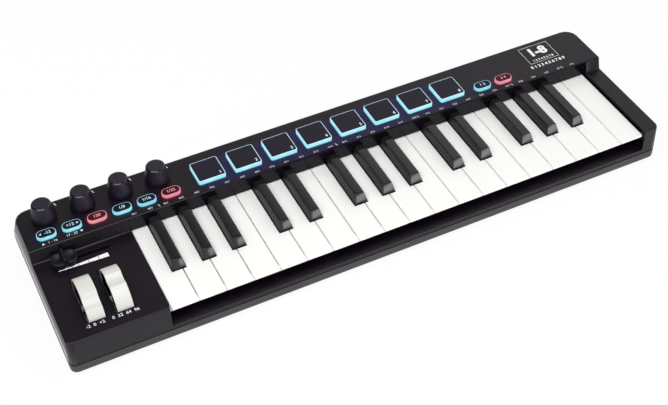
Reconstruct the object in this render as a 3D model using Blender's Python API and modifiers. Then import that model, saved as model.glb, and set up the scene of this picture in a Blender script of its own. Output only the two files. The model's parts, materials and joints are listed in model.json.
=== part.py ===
"""Mini MIDI keyboard with 32 keys, two wheels, a fader, four knobs, eight pads and eight buttons.

Run it with: blender --background --python part.py

Lengths are in metres. X runs along the keys to the right, Y from the player to the back, Z up.
The origin is under the middle of the case, on the surface that the feet stand on. The case is a
tray and a cover. The keys hang on one rail at the back of a key frame, over a contact board. The
panel board under the raised panel carries the pads, buttons and knobs.
"""

import math

import bmesh
import bpy
from mathutils import Matrix, Vector

MM = 0.001

# Keys
WHITE_PITCH = 18.5 * MM
WHITE_COUNT = 19
KEY_GAP = 0.6 * MM
WHITE_VISIBLE = 74.3 * MM
KEY_SIDE_HEIGHT = 8.5 * MM
KEY_WALL = 1.4 * MM
KEY_CORNER = 1.0 * MM
KEY_CHAMFER = 0.35 * MM
LIP_OVERHANG = 5.8 * MM
LIP_THICKNESS = 1.6 * MM
KEY_DIP = 3.6 * MM
BLACK_SETBACK = 29.5 * MM
BLACK_WIDTH = 8.8 * MM
BLACK_TOP_WIDTH = 5.2 * MM
BLACK_RISE = 6.8 * MM
BLACK_NOSE = 3.0 * MM
BLACK_HOLLOW_RISE = 2.0 * MM
OUTER_BLACK_SHIFT_OF_TWO = 1.6 * MM
OUTER_BLACK_SHIFT_OF_THREE = 2.3 * MM

# Case
BLOCK_WIDTH = 66.85 * MM
CHEEK_WIDTH = 12.6 * MM
BAY_MARGIN = 1.1 * MM
KEY_SETBACK = 0.9 * MM
PANEL_DEPTH = 38.3 * MM
BACK_REACH = 16.0 * MM
CASE_WALL = 2.2 * MM
FOOT_HEIGHT = 1.4 * MM
FOOT_RADIUS = 6.0 * MM
FOOT_INSET = 16.0 * MM
TRAY_HEIGHT = 8.1 * MM
TRAY_EDGE_ROUND = 2.6 * MM
SEAM_GAP = 0.5 * MM
TONGUE_HEIGHT = 1.6 * MM
TONGUE_THICKNESS = 1.4 * MM
FRONT_LIP_HEIGHT = 3.7 * MM
LEDGE_DEPTH = 12.5 * MM
LEDGE_THICKNESS = 1.8 * MM
KEY_TOP_OVER_LEDGE = 14.1 * MM
DECK_STEP = 3.0 * MM
PANEL_STEP = 9.1 * MM
STEP_LEAN = 2.0 * MM
SIDE_LEAN = 1.1 * MM
WALL_OVER_KEYS = 0.8 * MM
FRONT_CORNER = 4.5 * MM
BASE_CORNER = 3.0 * MM
PANEL_CORNER = 9.0 * MM
EDGE_ROUND = 0.9 * MM

# Key frame and contact board
CLEARANCE = 0.3 * MM
ROD_RADIUS = 1.5 * MM
ROD_WEB = 1.2 * MM
PIVOT_DEPTH = 5.0 * MM
TAIL_BEHIND_PIVOT = 4.0 * MM
TAIL_BLOCK = 5.0 * MM
TAIL_TO_WALL = 2.3 * MM
FRAME_THICKNESS = 1.8 * MM
FRAME_TO_SEAM = 0.2 * MM
GUIDE_DEPTH = 3.0 * MM
GUIDE_CLEARANCE = 0.4 * MM
WHITE_GUIDE_REACH = 16.0 * MM
BLACK_GUIDE_REACH = 38.0 * MM
RIB_THICKNESS = 1.6 * MM
BOARD_THICKNESS = 1.6 * MM
CONTACT_REACH = 63.0 * MM
CONTACT_BOARD_DEPTH = 18.0 * MM
DOME_SIZE = 5.0 * MM
INNER_WALL_RELIEF = 1.8 * MM

# Wheels
WHEEL_RADIUS = 19.8 * MM
WHEEL_WIDTH = 10.6 * MM
WHEEL_SPACING = 18.4 * MM
WHEEL_FROM_LEFT = 24.25 * MM
WHEEL_REACH = 29.5 * MM
WHEEL_AXIS_DEPTH = 5.0 * MM
WHEEL_CUT_DEPTH = 5.5 * MM
WHEEL_EDGE = 0.5 * MM
WHEEL_SLOT_CLEARANCE = 0.9 * MM
NOTCH_DEPTH = 2.0 * MM
NOTCH_RADIUS = 7.0 * MM
PITCH_NOTCH_ANGLE = -32.5
MODULATION_NOTCH_ANGLE = -7.0
STUB_RADIUS = 2.0 * MM
STUB_LENGTH = 2.6 * MM
CRADLE_THICKNESS = 3.4 * MM
CRADLE_DEPTH = 10.0 * MM
CRADLE_RISE = 2.4 * MM

# Fader
FADER_TRAVEL = 30.0 * MM
FADER_REST = 2.5 * MM
FADER_FROM_LEFT = 32.95 * MM
FADER_TO_WALL = 1.0 * MM
FADER_STEM_LENGTH = 4.0 * MM
FADER_STEM_THICKNESS = 1.2 * MM
FADER_CAP_LENGTH = 16.0 * MM
FADER_CAP_DEPTH = 11.6 * MM
FADER_CAP_CORNER = 4.6 * MM
FADER_CAP_HEIGHT = 4.6 * MM
FADER_RIDGE_HEIGHT = 8.8 * MM
FADER_RIDGE_WIDTH = 2.4 * MM
FADER_BODY_DEPTH = 9.0 * MM
FADER_BODY_MARGIN = 6.0 * MM
FADER_GROOVE_DEPTH = 5.0 * MM

# Panel controls
KNOB_PITCH = 26.0 * MM
KNOB_COUNT = 4
PAD_COUNT = 8
PAD_PITCH = 26.2 * MM
KNOB_FROM_LEFT = 19.1 * MM
KNOB_FROM_WALL = 26.2 * MM
PAD_FROM_KNOBS = 32.75 * MM
PAD_FROM_WALL = 17.35 * MM
PAD_SIZE = 19.4 * MM
PAD_CORNER = 1.6 * MM
PAD_RISE = 3.0 * MM
BUTTON_FROM_LEFT = 15.75 * MM
BUTTON_FROM_WALL = 9.6 * MM
BUTTON_PITCH = 17.0 * MM
BUTTON_COUNT = 6
PLAY_BUTTON_FROM_PADS = 24.95 * MM
PLAY_BUTTON_PITCH = 17.2 * MM
PLAY_BUTTON_COUNT = 2
BUTTON_LENGTH = 13.0 * MM
BUTTON_DEPTH = 7.4 * MM
BUTTON_RISE = 2.5 * MM
CONTROL_CHAMFER = 0.6 * MM
FLANGE = 1.1 * MM
FLANGE_THICKNESS = 1.2 * MM
PRESS_TRAVEL = 1.2 * MM
SENSOR_THICKNESS = 0.6 * MM
KNOB_RADIUS = 8.4 * MM
KNOB_TOP_RADIUS = 6.3 * MM
KNOB_HEIGHT = 12.8 * MM
KNOB_EDGE = 1.1 * MM
KNOB_SHAFT_RADIUS = 2.2 * MM
POT_RADIUS = 5.0 * MM
POT_HEIGHT = 5.4 * MM
POT_BORE_DEPTH = 4.0 * MM
PANEL_BOARD_OVER_KEYS = 2.2 * MM
PANEL_BOARD_INSET = 9.6 * MM
PANEL_BOARD_EDGE = 1.5 * MM
BOARD_POST_RADIUS = 1.5 * MM

# USB socket and screws
SOCKET_FROM_LEFT = 35.35 * MM
SOCKET_LENGTH = 9.0 * MM
SOCKET_HEIGHT = 3.2 * MM
SOCKET_BODY_DEPTH = 7.5 * MM
SOCKET_SHELL = 0.4 * MM
SOCKET_TONGUE = 0.7 * MM
SOCKET_RECESS = 0.6 * MM
BOSS_RADIUS = 2.7 * MM
BOSS_BORE = 1.1 * MM
BOSS_BORE_DEPTH = 8.0 * MM
POST_RADIUS = 3.4 * MM
SCREW_HOLE = 1.6 * MM
SCREW_HEAD_HOLE = 2.7 * MM
SCREW_HEAD_DEPTH = 1.2 * MM
SCREW_FROM_SIDE = 5.2 * MM
SCREW_FROM_FRONT = 9.0 * MM
SCREW_FROM_PANEL_BACK = 12.5 * MM

# Spare length of a cutter past the face that it cuts
PAST = 5.0 * MM

# Levels
TRAY_BOTTOM = FOOT_HEIGHT
SEAM = TRAY_BOTTOM + TRAY_HEIGHT
SHOULDER = SEAM - SEAM_GAP
FLOOR = TRAY_BOTTOM + CASE_WALL
LEDGE = SEAM + FRONT_LIP_HEIGHT
KEY_TOP = LEDGE + KEY_TOP_OVER_LEDGE
KEY_BOTTOM = KEY_TOP - KEY_SIDE_HEIGHT
DECK = KEY_TOP + DECK_STEP
DECK_UNDER = DECK - CASE_WALL
PANEL = DECK + PANEL_STEP
PANEL_UNDER = PANEL - CASE_WALL
FRAME_BOTTOM = SEAM - FRAME_TO_SEAM
FRAME_TOP = FRAME_BOTTOM + FRAME_THICKNESS
CONTACT_BOARD_BOTTOM = FRAME_TOP + CLEARANCE
CONTACT_BOARD_TOP = CONTACT_BOARD_BOTTOM + BOARD_THICKNESS
PANEL_BOARD_BOTTOM = KEY_TOP + PANEL_BOARD_OVER_KEYS
PANEL_BOARD_TOP = PANEL_BOARD_BOTTOM + BOARD_THICKNESS
WHEEL_AXIS = KEY_TOP - WHEEL_AXIS_DEPTH
PIVOT_Z = KEY_TOP - PIVOT_DEPTH

# Places along X and Y
CASE_WIDTH = BLOCK_WIDTH + WHITE_COUNT * WHITE_PITCH + 2 * BAY_MARGIN + CHEEK_WIDTH
CASE_DEPTH = KEY_SETBACK + WHITE_VISIBLE + PANEL_DEPTH + BACK_REACH
LEFT = -CASE_WIDTH / 2
RIGHT = CASE_WIDTH / 2
FRONT = -CASE_DEPTH / 2
BACK = CASE_DEPTH / 2
PANEL_BACK = BACK - BACK_REACH
BACK_SLOPE = BACK_REACH / (PANEL - SEAM)
BAY_LEFT = LEFT + BLOCK_WIDTH
BAY_RIGHT = RIGHT - CHEEK_WIDTH
KEYS_LEFT = BAY_LEFT + BAY_MARGIN
KEY_FRONT = FRONT + KEY_SETBACK
PANEL_WALL = KEY_FRONT + WHITE_VISIBLE
LEDGE_BACK = FRONT + LEDGE_DEPTH
TAIL_END = PANEL_BACK - CASE_WALL - TAIL_TO_WALL
PIVOT_Y = TAIL_END - TAIL_BEHIND_PIVOT
BLACK_FRONT = KEY_FRONT + BLACK_SETBACK
CONTACT_Y = KEY_FRONT + CONTACT_REACH
WHEEL_Y = KEY_FRONT + WHEEL_REACH
PITCH_WHEEL_X = LEFT + WHEEL_FROM_LEFT
MODULATION_WHEEL_X = PITCH_WHEEL_X + WHEEL_SPACING
FADER_Y = PANEL_WALL - STEP_LEAN - FADER_TO_WALL - FADER_CAP_DEPTH / 2
FADER_X = LEFT + FADER_FROM_LEFT
FADER_CAP_X = FADER_X - FADER_TRAVEL / 2 + FADER_REST
KNOB_X = LEFT + KNOB_FROM_LEFT
KNOB_Y = PANEL_WALL + KNOB_FROM_WALL
LAST_KNOB_X = KNOB_X + (KNOB_COUNT - 1) * KNOB_PITCH
PAD_X = LAST_KNOB_X + PAD_FROM_KNOBS
PAD_Y = PANEL_WALL + PAD_FROM_WALL
LAST_PAD_X = PAD_X + (PAD_COUNT - 1) * PAD_PITCH
BUTTON_X = LEFT + BUTTON_FROM_LEFT
BUTTON_Y = PANEL_WALL + BUTTON_FROM_WALL
PLAY_BUTTON_X = LAST_PAD_X + PLAY_BUTTON_FROM_PADS
SOCKET_X = LEFT + SOCKET_FROM_LEFT

# The octave's notes: each white note, and the shift of the black key at its right from the gap
WHITE_NOTES = "CDEFGAB"
BLACK_SHIFT = {
    "C": -OUTER_BLACK_SHIFT_OF_TWO,
    "D": OUTER_BLACK_SHIFT_OF_TWO,
    "F": -OUTER_BLACK_SHIFT_OF_THREE,
    "G": 0.0,
    "A": OUTER_BLACK_SHIFT_OF_THREE,
}
FIRST_NOTE = "F"

# Colours, linear, with roughness
CASE_BLACK = ((0.018, 0.016, 0.018), 0.45)
TRAY_GREY = ((0.03, 0.03, 0.031), 0.7)
KEY_WHITE = ((0.85, 0.84, 0.80), 0.25)
KEY_BLACK = ((0.012, 0.011, 0.012), 0.3)
WHEEL_WHITE = ((0.72, 0.72, 0.66), 0.4)
CONTROL_BLACK = ((0.02, 0.019, 0.021), 0.55)
BUTTON_NAVY = ((0.004, 0.02, 0.05), 0.5)
BUTTON_RED = ((0.09, 0.002, 0.01), 0.5)
FRAME_GREY = ((0.25, 0.25, 0.26), 0.5)
BOARD_GREEN = ((0.01, 0.09, 0.035), 0.4)
PINK_BUTTONS = (3, 6, 8)


def clear_scene():
    """Removes every object of the startup scene."""
    for old in list(bpy.data.objects):
        bpy.data.objects.remove(old)


def new_object(name, mesh):
    """Links a mesh to the scene as an object."""
    made = bpy.data.objects.new(name, mesh)
    bpy.context.scene.collection.objects.link(made)
    return made


def bake(body):
    """Puts the shape that the modifiers give into the object's own mesh."""
    graph = bpy.context.evaluated_depsgraph_get()
    shaped = bpy.data.meshes.new_from_object(body.evaluated_get(graph))
    old = body.data
    body.modifiers.clear()
    body.data = shaped
    bpy.data.meshes.remove(old)
    return body


def combine(body, tool, operation):
    """Joins, cuts or intersects a body with a tool, which is used up."""
    change = body.modifiers.new(operation, "BOOLEAN")
    change.operation = operation
    change.object = tool
    bake(body)
    bpy.data.objects.remove(tool)
    return body


def cut(body, *tools):
    """Cuts each tool's shape out of the body."""
    for tool in tools:
        combine(body, tool, "DIFFERENCE")
    return body


def join(body, *tools):
    """Joins each tool's shape to the body."""
    for tool in tools:
        combine(body, tool, "UNION")
    return body


def bevelled(body, width, segments, angle):
    """Rounds the edges that are sharper than an angle in degrees."""
    rounding = body.modifiers.new("Rounding", "BEVEL")
    rounding.width = width
    rounding.segments = segments
    rounding.limit_method = "ANGLE"
    rounding.angle_limit = math.radians(angle)
    return bake(body)


def from_bmesh(shape):
    """Turns a finished bmesh into an object."""
    mesh = bpy.data.meshes.new("shape")
    shape.to_mesh(mesh)
    shape.free()
    return new_object("shape", mesh)


def box(low, high):
    """A box between two corners."""
    low = Vector(low)
    high = Vector(high)
    shape = bmesh.new()
    bmesh.ops.create_cube(shape, size=1.0)
    middle = Matrix.Translation((low + high) / 2)
    stretch = Matrix.Diagonal((*(high - low), 1.0))
    bmesh.ops.transform(shape, matrix=middle @ stretch, verts=shape.verts)
    return from_bmesh(shape)


def turn_to(along):
    """The rotation that turns a shape raised along Z to lie along X or Y."""
    if along == "X":
        return Matrix(((0, 0, 1, 0), (1, 0, 0, 0), (0, 1, 0, 0), (0, 0, 0, 1)))
    if along == "Y":
        return Matrix.Rotation(math.radians(90), 4, "X")
    return Matrix.Identity(4)


def cylinder(radius, low, high, centre, along="Z", segments=24):
    """A cylinder from low to high, with its axis along X, Y or Z through centre, as X, Y and Z."""
    shape = bmesh.new()
    bmesh.ops.create_cone(
        shape,
        cap_ends=True,
        segments=segments,
        radius1=radius,
        radius2=radius,
        depth=high - low,
    )
    middle = Vector(centre)
    middle["XYZ".index(along)] = (low + high) / 2
    placed = Matrix.Translation(middle) @ turn_to(along)
    bmesh.ops.transform(shape, matrix=placed, verts=shape.verts)
    return from_bmesh(shape)


def prism(outline, low, high, chamfer=0.0, along="Z"):
    """An outline raised from low to high, with both its rims chamfered.

    Along Z the outline is X and Y, along X it is Y and Z, and along Y it is X and Z.
    """
    curve = bpy.data.curves.new("outline", "CURVE")
    curve.dimensions = "2D"
    curve.fill_mode = "BOTH"
    curve.extrude = (high - low) / 2 - chamfer
    curve.bevel_depth = chamfer
    curve.bevel_resolution = 0
    curve.offset = -chamfer
    spline = curve.splines.new("POLY")
    spline.points.add(len(outline) - 1)
    for point, (across, up) in zip(spline.points, outline):
        point.co = (across, up, 0.0, 1.0)
    spline.use_cyclic_u = True
    drawn = bpy.data.objects.new("outline", curve)
    bpy.context.scene.collection.objects.link(drawn)
    graph = bpy.context.evaluated_depsgraph_get()
    mesh = bpy.data.meshes.new_from_object(drawn.evaluated_get(graph))
    bpy.data.objects.remove(drawn)
    shape = bmesh.new()
    shape.from_mesh(mesh)
    bpy.data.meshes.remove(mesh)
    bmesh.ops.remove_doubles(shape, verts=shape.verts, dist=0.0005 * MM)
    middle = (low + high) / 2
    raised = Matrix.Translation((0.0, 0.0, -middle if along == "Y" else middle))
    bmesh.ops.transform(shape, matrix=turn_to(along) @ raised, verts=shape.verts)
    bmesh.ops.recalc_face_normals(shape, faces=shape.faces)
    return from_bmesh(shape)


def rounded_outline(corners, step=22.5):
    """Points round a polygon whose corners, given as X, Y and radius, are arcs of short steps."""
    points = []
    for index, (x, y, radius) in enumerate(corners):
        here = Vector((x, y))
        if radius == 0.0:
            points.append((x, y))
            continue
        before = (Vector(corners[index - 1][:2]) - here).normalized()
        after = (Vector(corners[(index + 1) % len(corners)][:2]) - here).normalized()
        half = before.angle(after) / 2
        centre = here + (before + after).normalized() * radius / math.sin(half)
        start = here + before * radius / math.tan(half) - centre
        sweep = math.pi - 2 * half
        if before.x * after.y - before.y * after.x > 0:
            sweep = -sweep
        steps = max(1, round(math.degrees(abs(sweep)) / step))
        for count in range(steps + 1):
            turned = Matrix.Rotation(sweep * count / steps, 2) @ start
            points.append(tuple(centre + turned))
    return points


def rounded_rectangle(centre, length, depth, radius, step=22.5):
    """A rectangle's outline with equal round corners."""
    x, y = centre
    right = x + length / 2
    left = x - length / 2
    back = y + depth / 2
    front = y - depth / 2
    places = ((left, front), (right, front), (right, back), (left, back))
    return rounded_outline([(*place, radius) for place in places], step)


def lofted(rings):
    """A solid through rings given from the bottom up, each an outline and its height."""
    shape = bmesh.new()
    levels = [[shape.verts.new((x, y, height)) for x, y in outline] for outline, height in rings]
    for low, high in zip(levels, levels[1:]):
        for index in range(len(low)):
            after = (index + 1) % len(low)
            shape.faces.new((low[index], low[after], high[after], high[index]))
    shape.faces.new(reversed(levels[0]))
    shape.faces.new(levels[-1])
    bmesh.ops.recalc_face_normals(shape, faces=shape.faces)
    return from_bmesh(shape)


def gathered(tools):
    """Separate tools as one object, so that one Boolean uses them all."""
    shape = bmesh.new()
    for tool in tools:
        shape.from_mesh(tool.data)
        bpy.data.objects.remove(tool)
    return from_bmesh(shape)


def turned(profile, steps):
    """A profile of radius and height pairs, from the top down its outer side, turned about Z."""
    mesh = bpy.data.meshes.new("profile")
    points = [(radius, 0.0, height) for radius, height in profile]
    edges = [(index, index + 1) for index in range(len(points) - 1)]
    mesh.from_pydata(points, edges, [])
    body = new_object("turned", mesh)
    screw = body.modifiers.new("Screw", "SCREW")
    screw.axis = "Z"
    screw.steps = steps
    screw.render_steps = steps
    screw.use_merge_vertices = True
    screw.merge_threshold = 0.01 * MM
    return bake(body)


def material(name, finish):
    """A Principled material of one colour and roughness."""
    colour, roughness = finish
    made = bpy.data.materials.new(name)
    made.use_nodes = True
    surface = made.node_tree.nodes["Principled BSDF"]
    surface.inputs["Base Color"].default_value = (*colour, 1.0)
    surface.inputs["Roughness"].default_value = roughness
    surface.inputs["Metallic"].default_value = 0.0
    made.diffuse_color = (*colour, 1.0)
    return made


def set_origin(body, origin):
    """Moves the object's origin, and leaves its shape where it is."""
    body.data.transform(Matrix.Translation(-Vector(origin)))
    body.location = origin
    return body


def finish(body, name, look, parts):
    """Names a piece, gives it its material and smooth round faces, and files it with the parts."""
    body.name = name
    body.data.name = name
    body.data.materials.clear()
    body.data.materials.append(look)
    body.data.shade_smooth()
    body.data.set_sharp_from_angle(angle=math.radians(30))
    bpy.context.scene.collection.objects.unlink(body)
    parts.objects.link(body)
    return body


def white_sides(note, first, last):
    """Left and right edges of a white key behind the black keys' fronts, from its cell's left."""
    before = WHITE_NOTES[WHITE_NOTES.index(note) - 1]
    left = KEY_GAP / 2
    right = WHITE_PITCH - KEY_GAP / 2
    if before in BLACK_SHIFT and not first:
        left = BLACK_SHIFT[before] + BLACK_WIDTH / 2 + KEY_GAP
    if note in BLACK_SHIFT and not last:
        right = WHITE_PITCH + BLACK_SHIFT[note] - BLACK_WIDTH / 2 - KEY_GAP
    return left, right


def pivot_notch(low, high):
    """The slot in a key's tail, open below, that sits over the key frame's rod."""
    radius = ROD_RADIUS + CLEARANCE
    outline = [(PIVOT_Y + radius, KEY_BOTTOM - PAST)]
    for count in range(9):
        angle = math.pi * count / 8
        outline.append((PIVOT_Y + radius * math.cos(angle), PIVOT_Z + radius * math.sin(angle)))
    outline.append((PIVOT_Y - radius, KEY_BOTTOM - PAST))
    return prism(outline, low, high, along="X")


def white_key(note, first, last):
    """A white key in its cell, hollow below, with a thin lip in front and a notched tail."""
    left, right = white_sides(note, first, last)
    wide_left = KEY_GAP / 2
    wide_right = WHITE_PITCH - KEY_GAP / 2
    step_y = BLACK_FRONT - KEY_GAP
    corners = [(wide_left, KEY_FRONT, KEY_CORNER), (wide_right, KEY_FRONT, KEY_CORNER)]
    if right < wide_right:
        corners += [(wide_right, step_y, 0.0), (right, step_y, 0.0)]
    corners += [(right, TAIL_END, 0.0), (left, TAIL_END, 0.0)]
    if left > wide_left:
        corners += [(left, step_y, 0.0), (wide_left, step_y, 0.0)]
    key = prism(rounded_outline(corners, 45.0), KEY_BOTTOM, KEY_TOP, KEY_CHAMFER)
    under_lip = KEY_TOP - LIP_THICKNESS
    below = KEY_BOTTOM - PAST
    body_front = KEY_FRONT + LIP_OVERHANG
    cut(
        key,
        box((-PAST, KEY_FRONT - PAST, below), (WHITE_PITCH + PAST, body_front, under_lip)),
        box(
            (wide_left + KEY_WALL, body_front + KEY_WALL, below),
            (wide_right - KEY_WALL, step_y - KEY_WALL, under_lip),
        ),
        box(
            (left + KEY_WALL, step_y - 2 * KEY_WALL, below),
            (right - KEY_WALL, PIVOT_Y - TAIL_BLOCK, under_lip),
        ),
        pivot_notch(-PAST, WHITE_PITCH + PAST),
    )
    return set_origin(key, (WHITE_PITCH / 2, PIVOT_Y, PIVOT_Z))


def black_key():
    """A black key about X = 0: a tapered cap on a hollow body with a notched tail."""
    half = BLACK_WIDTH / 2
    inner = half - KEY_WALL
    cap_end = PANEL_WALL - CLEARANCE
    cap_top = KEY_TOP + BLACK_RISE
    side = [
        (BLACK_FRONT, KEY_BOTTOM),
        (BLACK_FRONT, KEY_TOP),
        (BLACK_FRONT + BLACK_NOSE, cap_top),
        (cap_end, cap_top),
        (cap_end, KEY_TOP),
        (TAIL_END, KEY_TOP),
        (TAIL_END, KEY_BOTTOM),
    ]
    key = prism(side, -half, half, along="X")
    for vertex in key.data.vertices:
        if vertex.co.z > KEY_TOP + BLACK_RISE / 2:
            vertex.co.x = math.copysign(BLACK_TOP_WIDTH / 2, vertex.co.x)
    below = KEY_BOTTOM - PAST
    hollow_front = BLACK_FRONT + KEY_WALL
    cut(
        key,
        box(
            (-inner, hollow_front, below),
            (inner, PIVOT_Y - TAIL_BLOCK, KEY_TOP - LIP_THICKNESS),
        ),
        box(
            (-inner, hollow_front + KEY_WALL, below),
            (inner, cap_end - 2 * KEY_WALL, KEY_TOP + BLACK_HOLLOW_RISE),
        ),
        pivot_notch(-half - PAST, half + PAST),
    )
    return set_origin(key, (0.0, PIVOT_Y, PIVOT_Z))


def note_row():
    """The keys from left to right: each one's note, X of its middle, and the white cell's number."""
    row = []
    for cell in range(WHITE_COUNT):
        note = WHITE_NOTES[(WHITE_NOTES.index(FIRST_NOTE) + cell) % len(WHITE_NOTES)]
        left = KEYS_LEFT + cell * WHITE_PITCH
        row.append((note, left + WHITE_PITCH / 2, cell))
        if note in BLACK_SHIFT and cell < WHITE_COUNT - 1:
            row.append((note + "_sharp", left + WHITE_PITCH + BLACK_SHIFT[note], cell))
    return row


def make_keys(parts):
    """Every key as an object of its own, alike keys sharing one mesh."""
    white_look = material("key_white", KEY_WHITE)
    black_look = material("key_black", KEY_BLACK)
    meshes = {}
    for number, (note, x, cell) in enumerate(note_row(), start=1):
        sharp = note.endswith("_sharp")
        first = cell == 0
        last = cell == WHITE_COUNT - 1
        kind = "sharp" if sharp else (note, first, last)
        if kind in meshes:
            key = new_object("key", meshes[kind])
            bpy.context.scene.collection.objects.unlink(key)
            parts.objects.link(key)
        elif sharp:
            key = finish(black_key(), "key", black_look, parts)
        else:
            key = finish(white_key(note, first, last), "key", white_look, parts)
        meshes[kind] = key.data
        key.name = f"key_{number:02d}_{note.lower()}"
        key.location = (x, PIVOT_Y, PIVOT_Z)


def back_at(height):
    """Y of the sloped back wall's outer face at a height."""
    return PANEL_BACK + BACK_SLOPE * (PANEL - height)


def case_plan(inset, front_radius, back_radius, back=BACK):
    """The case's outline seen from above, drawn in by an inset, with its back at a given Y."""
    left = LEFT + inset
    right = RIGHT - inset
    front = FRONT + inset
    back -= inset
    return rounded_outline(
        [
            (left, front, front_radius),
            (right, front, front_radius),
            (right, back, back_radius),
            (left, back, back_radius),
        ]
    )


def panel_holes():
    """Cutters for the pads, the buttons and the knobs' shafts in the raised panel."""
    low = PANEL_UNDER - PAST / 4
    high = PANEL + PAST
    holes = []
    for x, y in pad_places():
        side = PAD_SIZE + 2 * CLEARANCE
        outline = rounded_rectangle((x, y), side, side, PAD_CORNER, 45.0)
        holes.append(prism(outline, low, high))
    for x, y in button_places():
        length = BUTTON_LENGTH + 2 * CLEARANCE
        depth = BUTTON_DEPTH + 2 * CLEARANCE
        holes.append(prism(rounded_rectangle((x, y), length, depth, depth / 2, 30.0), low, high))
    for x, y in knob_places():
        holes.append(cylinder(KNOB_SHAFT_RADIUS + CLEARANCE, low, high, (x, y, 0.0), segments=12))
    return gathered(holes)


def knob_places():
    """X and Y of each knob."""
    return [(KNOB_X + index * KNOB_PITCH, KNOB_Y) for index in range(KNOB_COUNT)]


def pad_places():
    """X and Y of each pad."""
    return [(PAD_X + index * PAD_PITCH, PAD_Y) for index in range(PAD_COUNT)]


def button_places():
    """X and Y of each button, the six at the left and then the two at the right."""
    places = [(BUTTON_X + index * BUTTON_PITCH, BUTTON_Y) for index in range(BUTTON_COUNT)]
    for index in range(PLAY_BUTTON_COUNT):
        places.append((PLAY_BUTTON_X + index * PLAY_BUTTON_PITCH, BUTTON_Y))
    return places


def board_posts():
    """X and Y of the posts that hold the panel board, each midway between two controls."""
    half = PAD_PITCH / 2
    return [
        (KNOB_X + KNOB_PITCH / 2, PAD_Y),
        (LAST_KNOB_X - KNOB_PITCH / 2, PAD_Y),
        (PAD_X + half, PAD_Y),
        (LAST_PAD_X - 3 * half, PAD_Y),
        (LAST_PAD_X + 2 * half, PAD_Y),
        (LAST_PAD_X + 5 * half, PAD_Y),
    ]


def screw_places():
    """X, Y and ceiling height of each case screw's boss."""
    left = LEFT + CASE_WALL + SCREW_FROM_SIDE
    right = (BAY_RIGHT + RIGHT) / 2
    block_right = BAY_LEFT - CASE_WALL - SCREW_FROM_SIDE
    front = FRONT + SCREW_FROM_FRONT
    back = PANEL_BACK - SCREW_FROM_PANEL_BACK
    return [
        (left, front, DECK_UNDER),
        (block_right, front, DECK_UNDER),
        (right, front, DECK_UNDER),
        (left, back, PANEL_UNDER),
        (right, back, PANEL_UNDER),
    ]


def socket_outline(grow):
    """The USB socket's outline in X and Z, grown by an allowance."""
    height = SOCKET_HEIGHT + 2 * grow
    middle = PANEL_BOARD_TOP + SOCKET_HEIGHT / 2
    radius = height / 2 - 0.05 * MM
    return rounded_rectangle((SOCKET_X, middle), SOCKET_LENGTH + 2 * grow, height, radius, 45.0)


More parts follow.
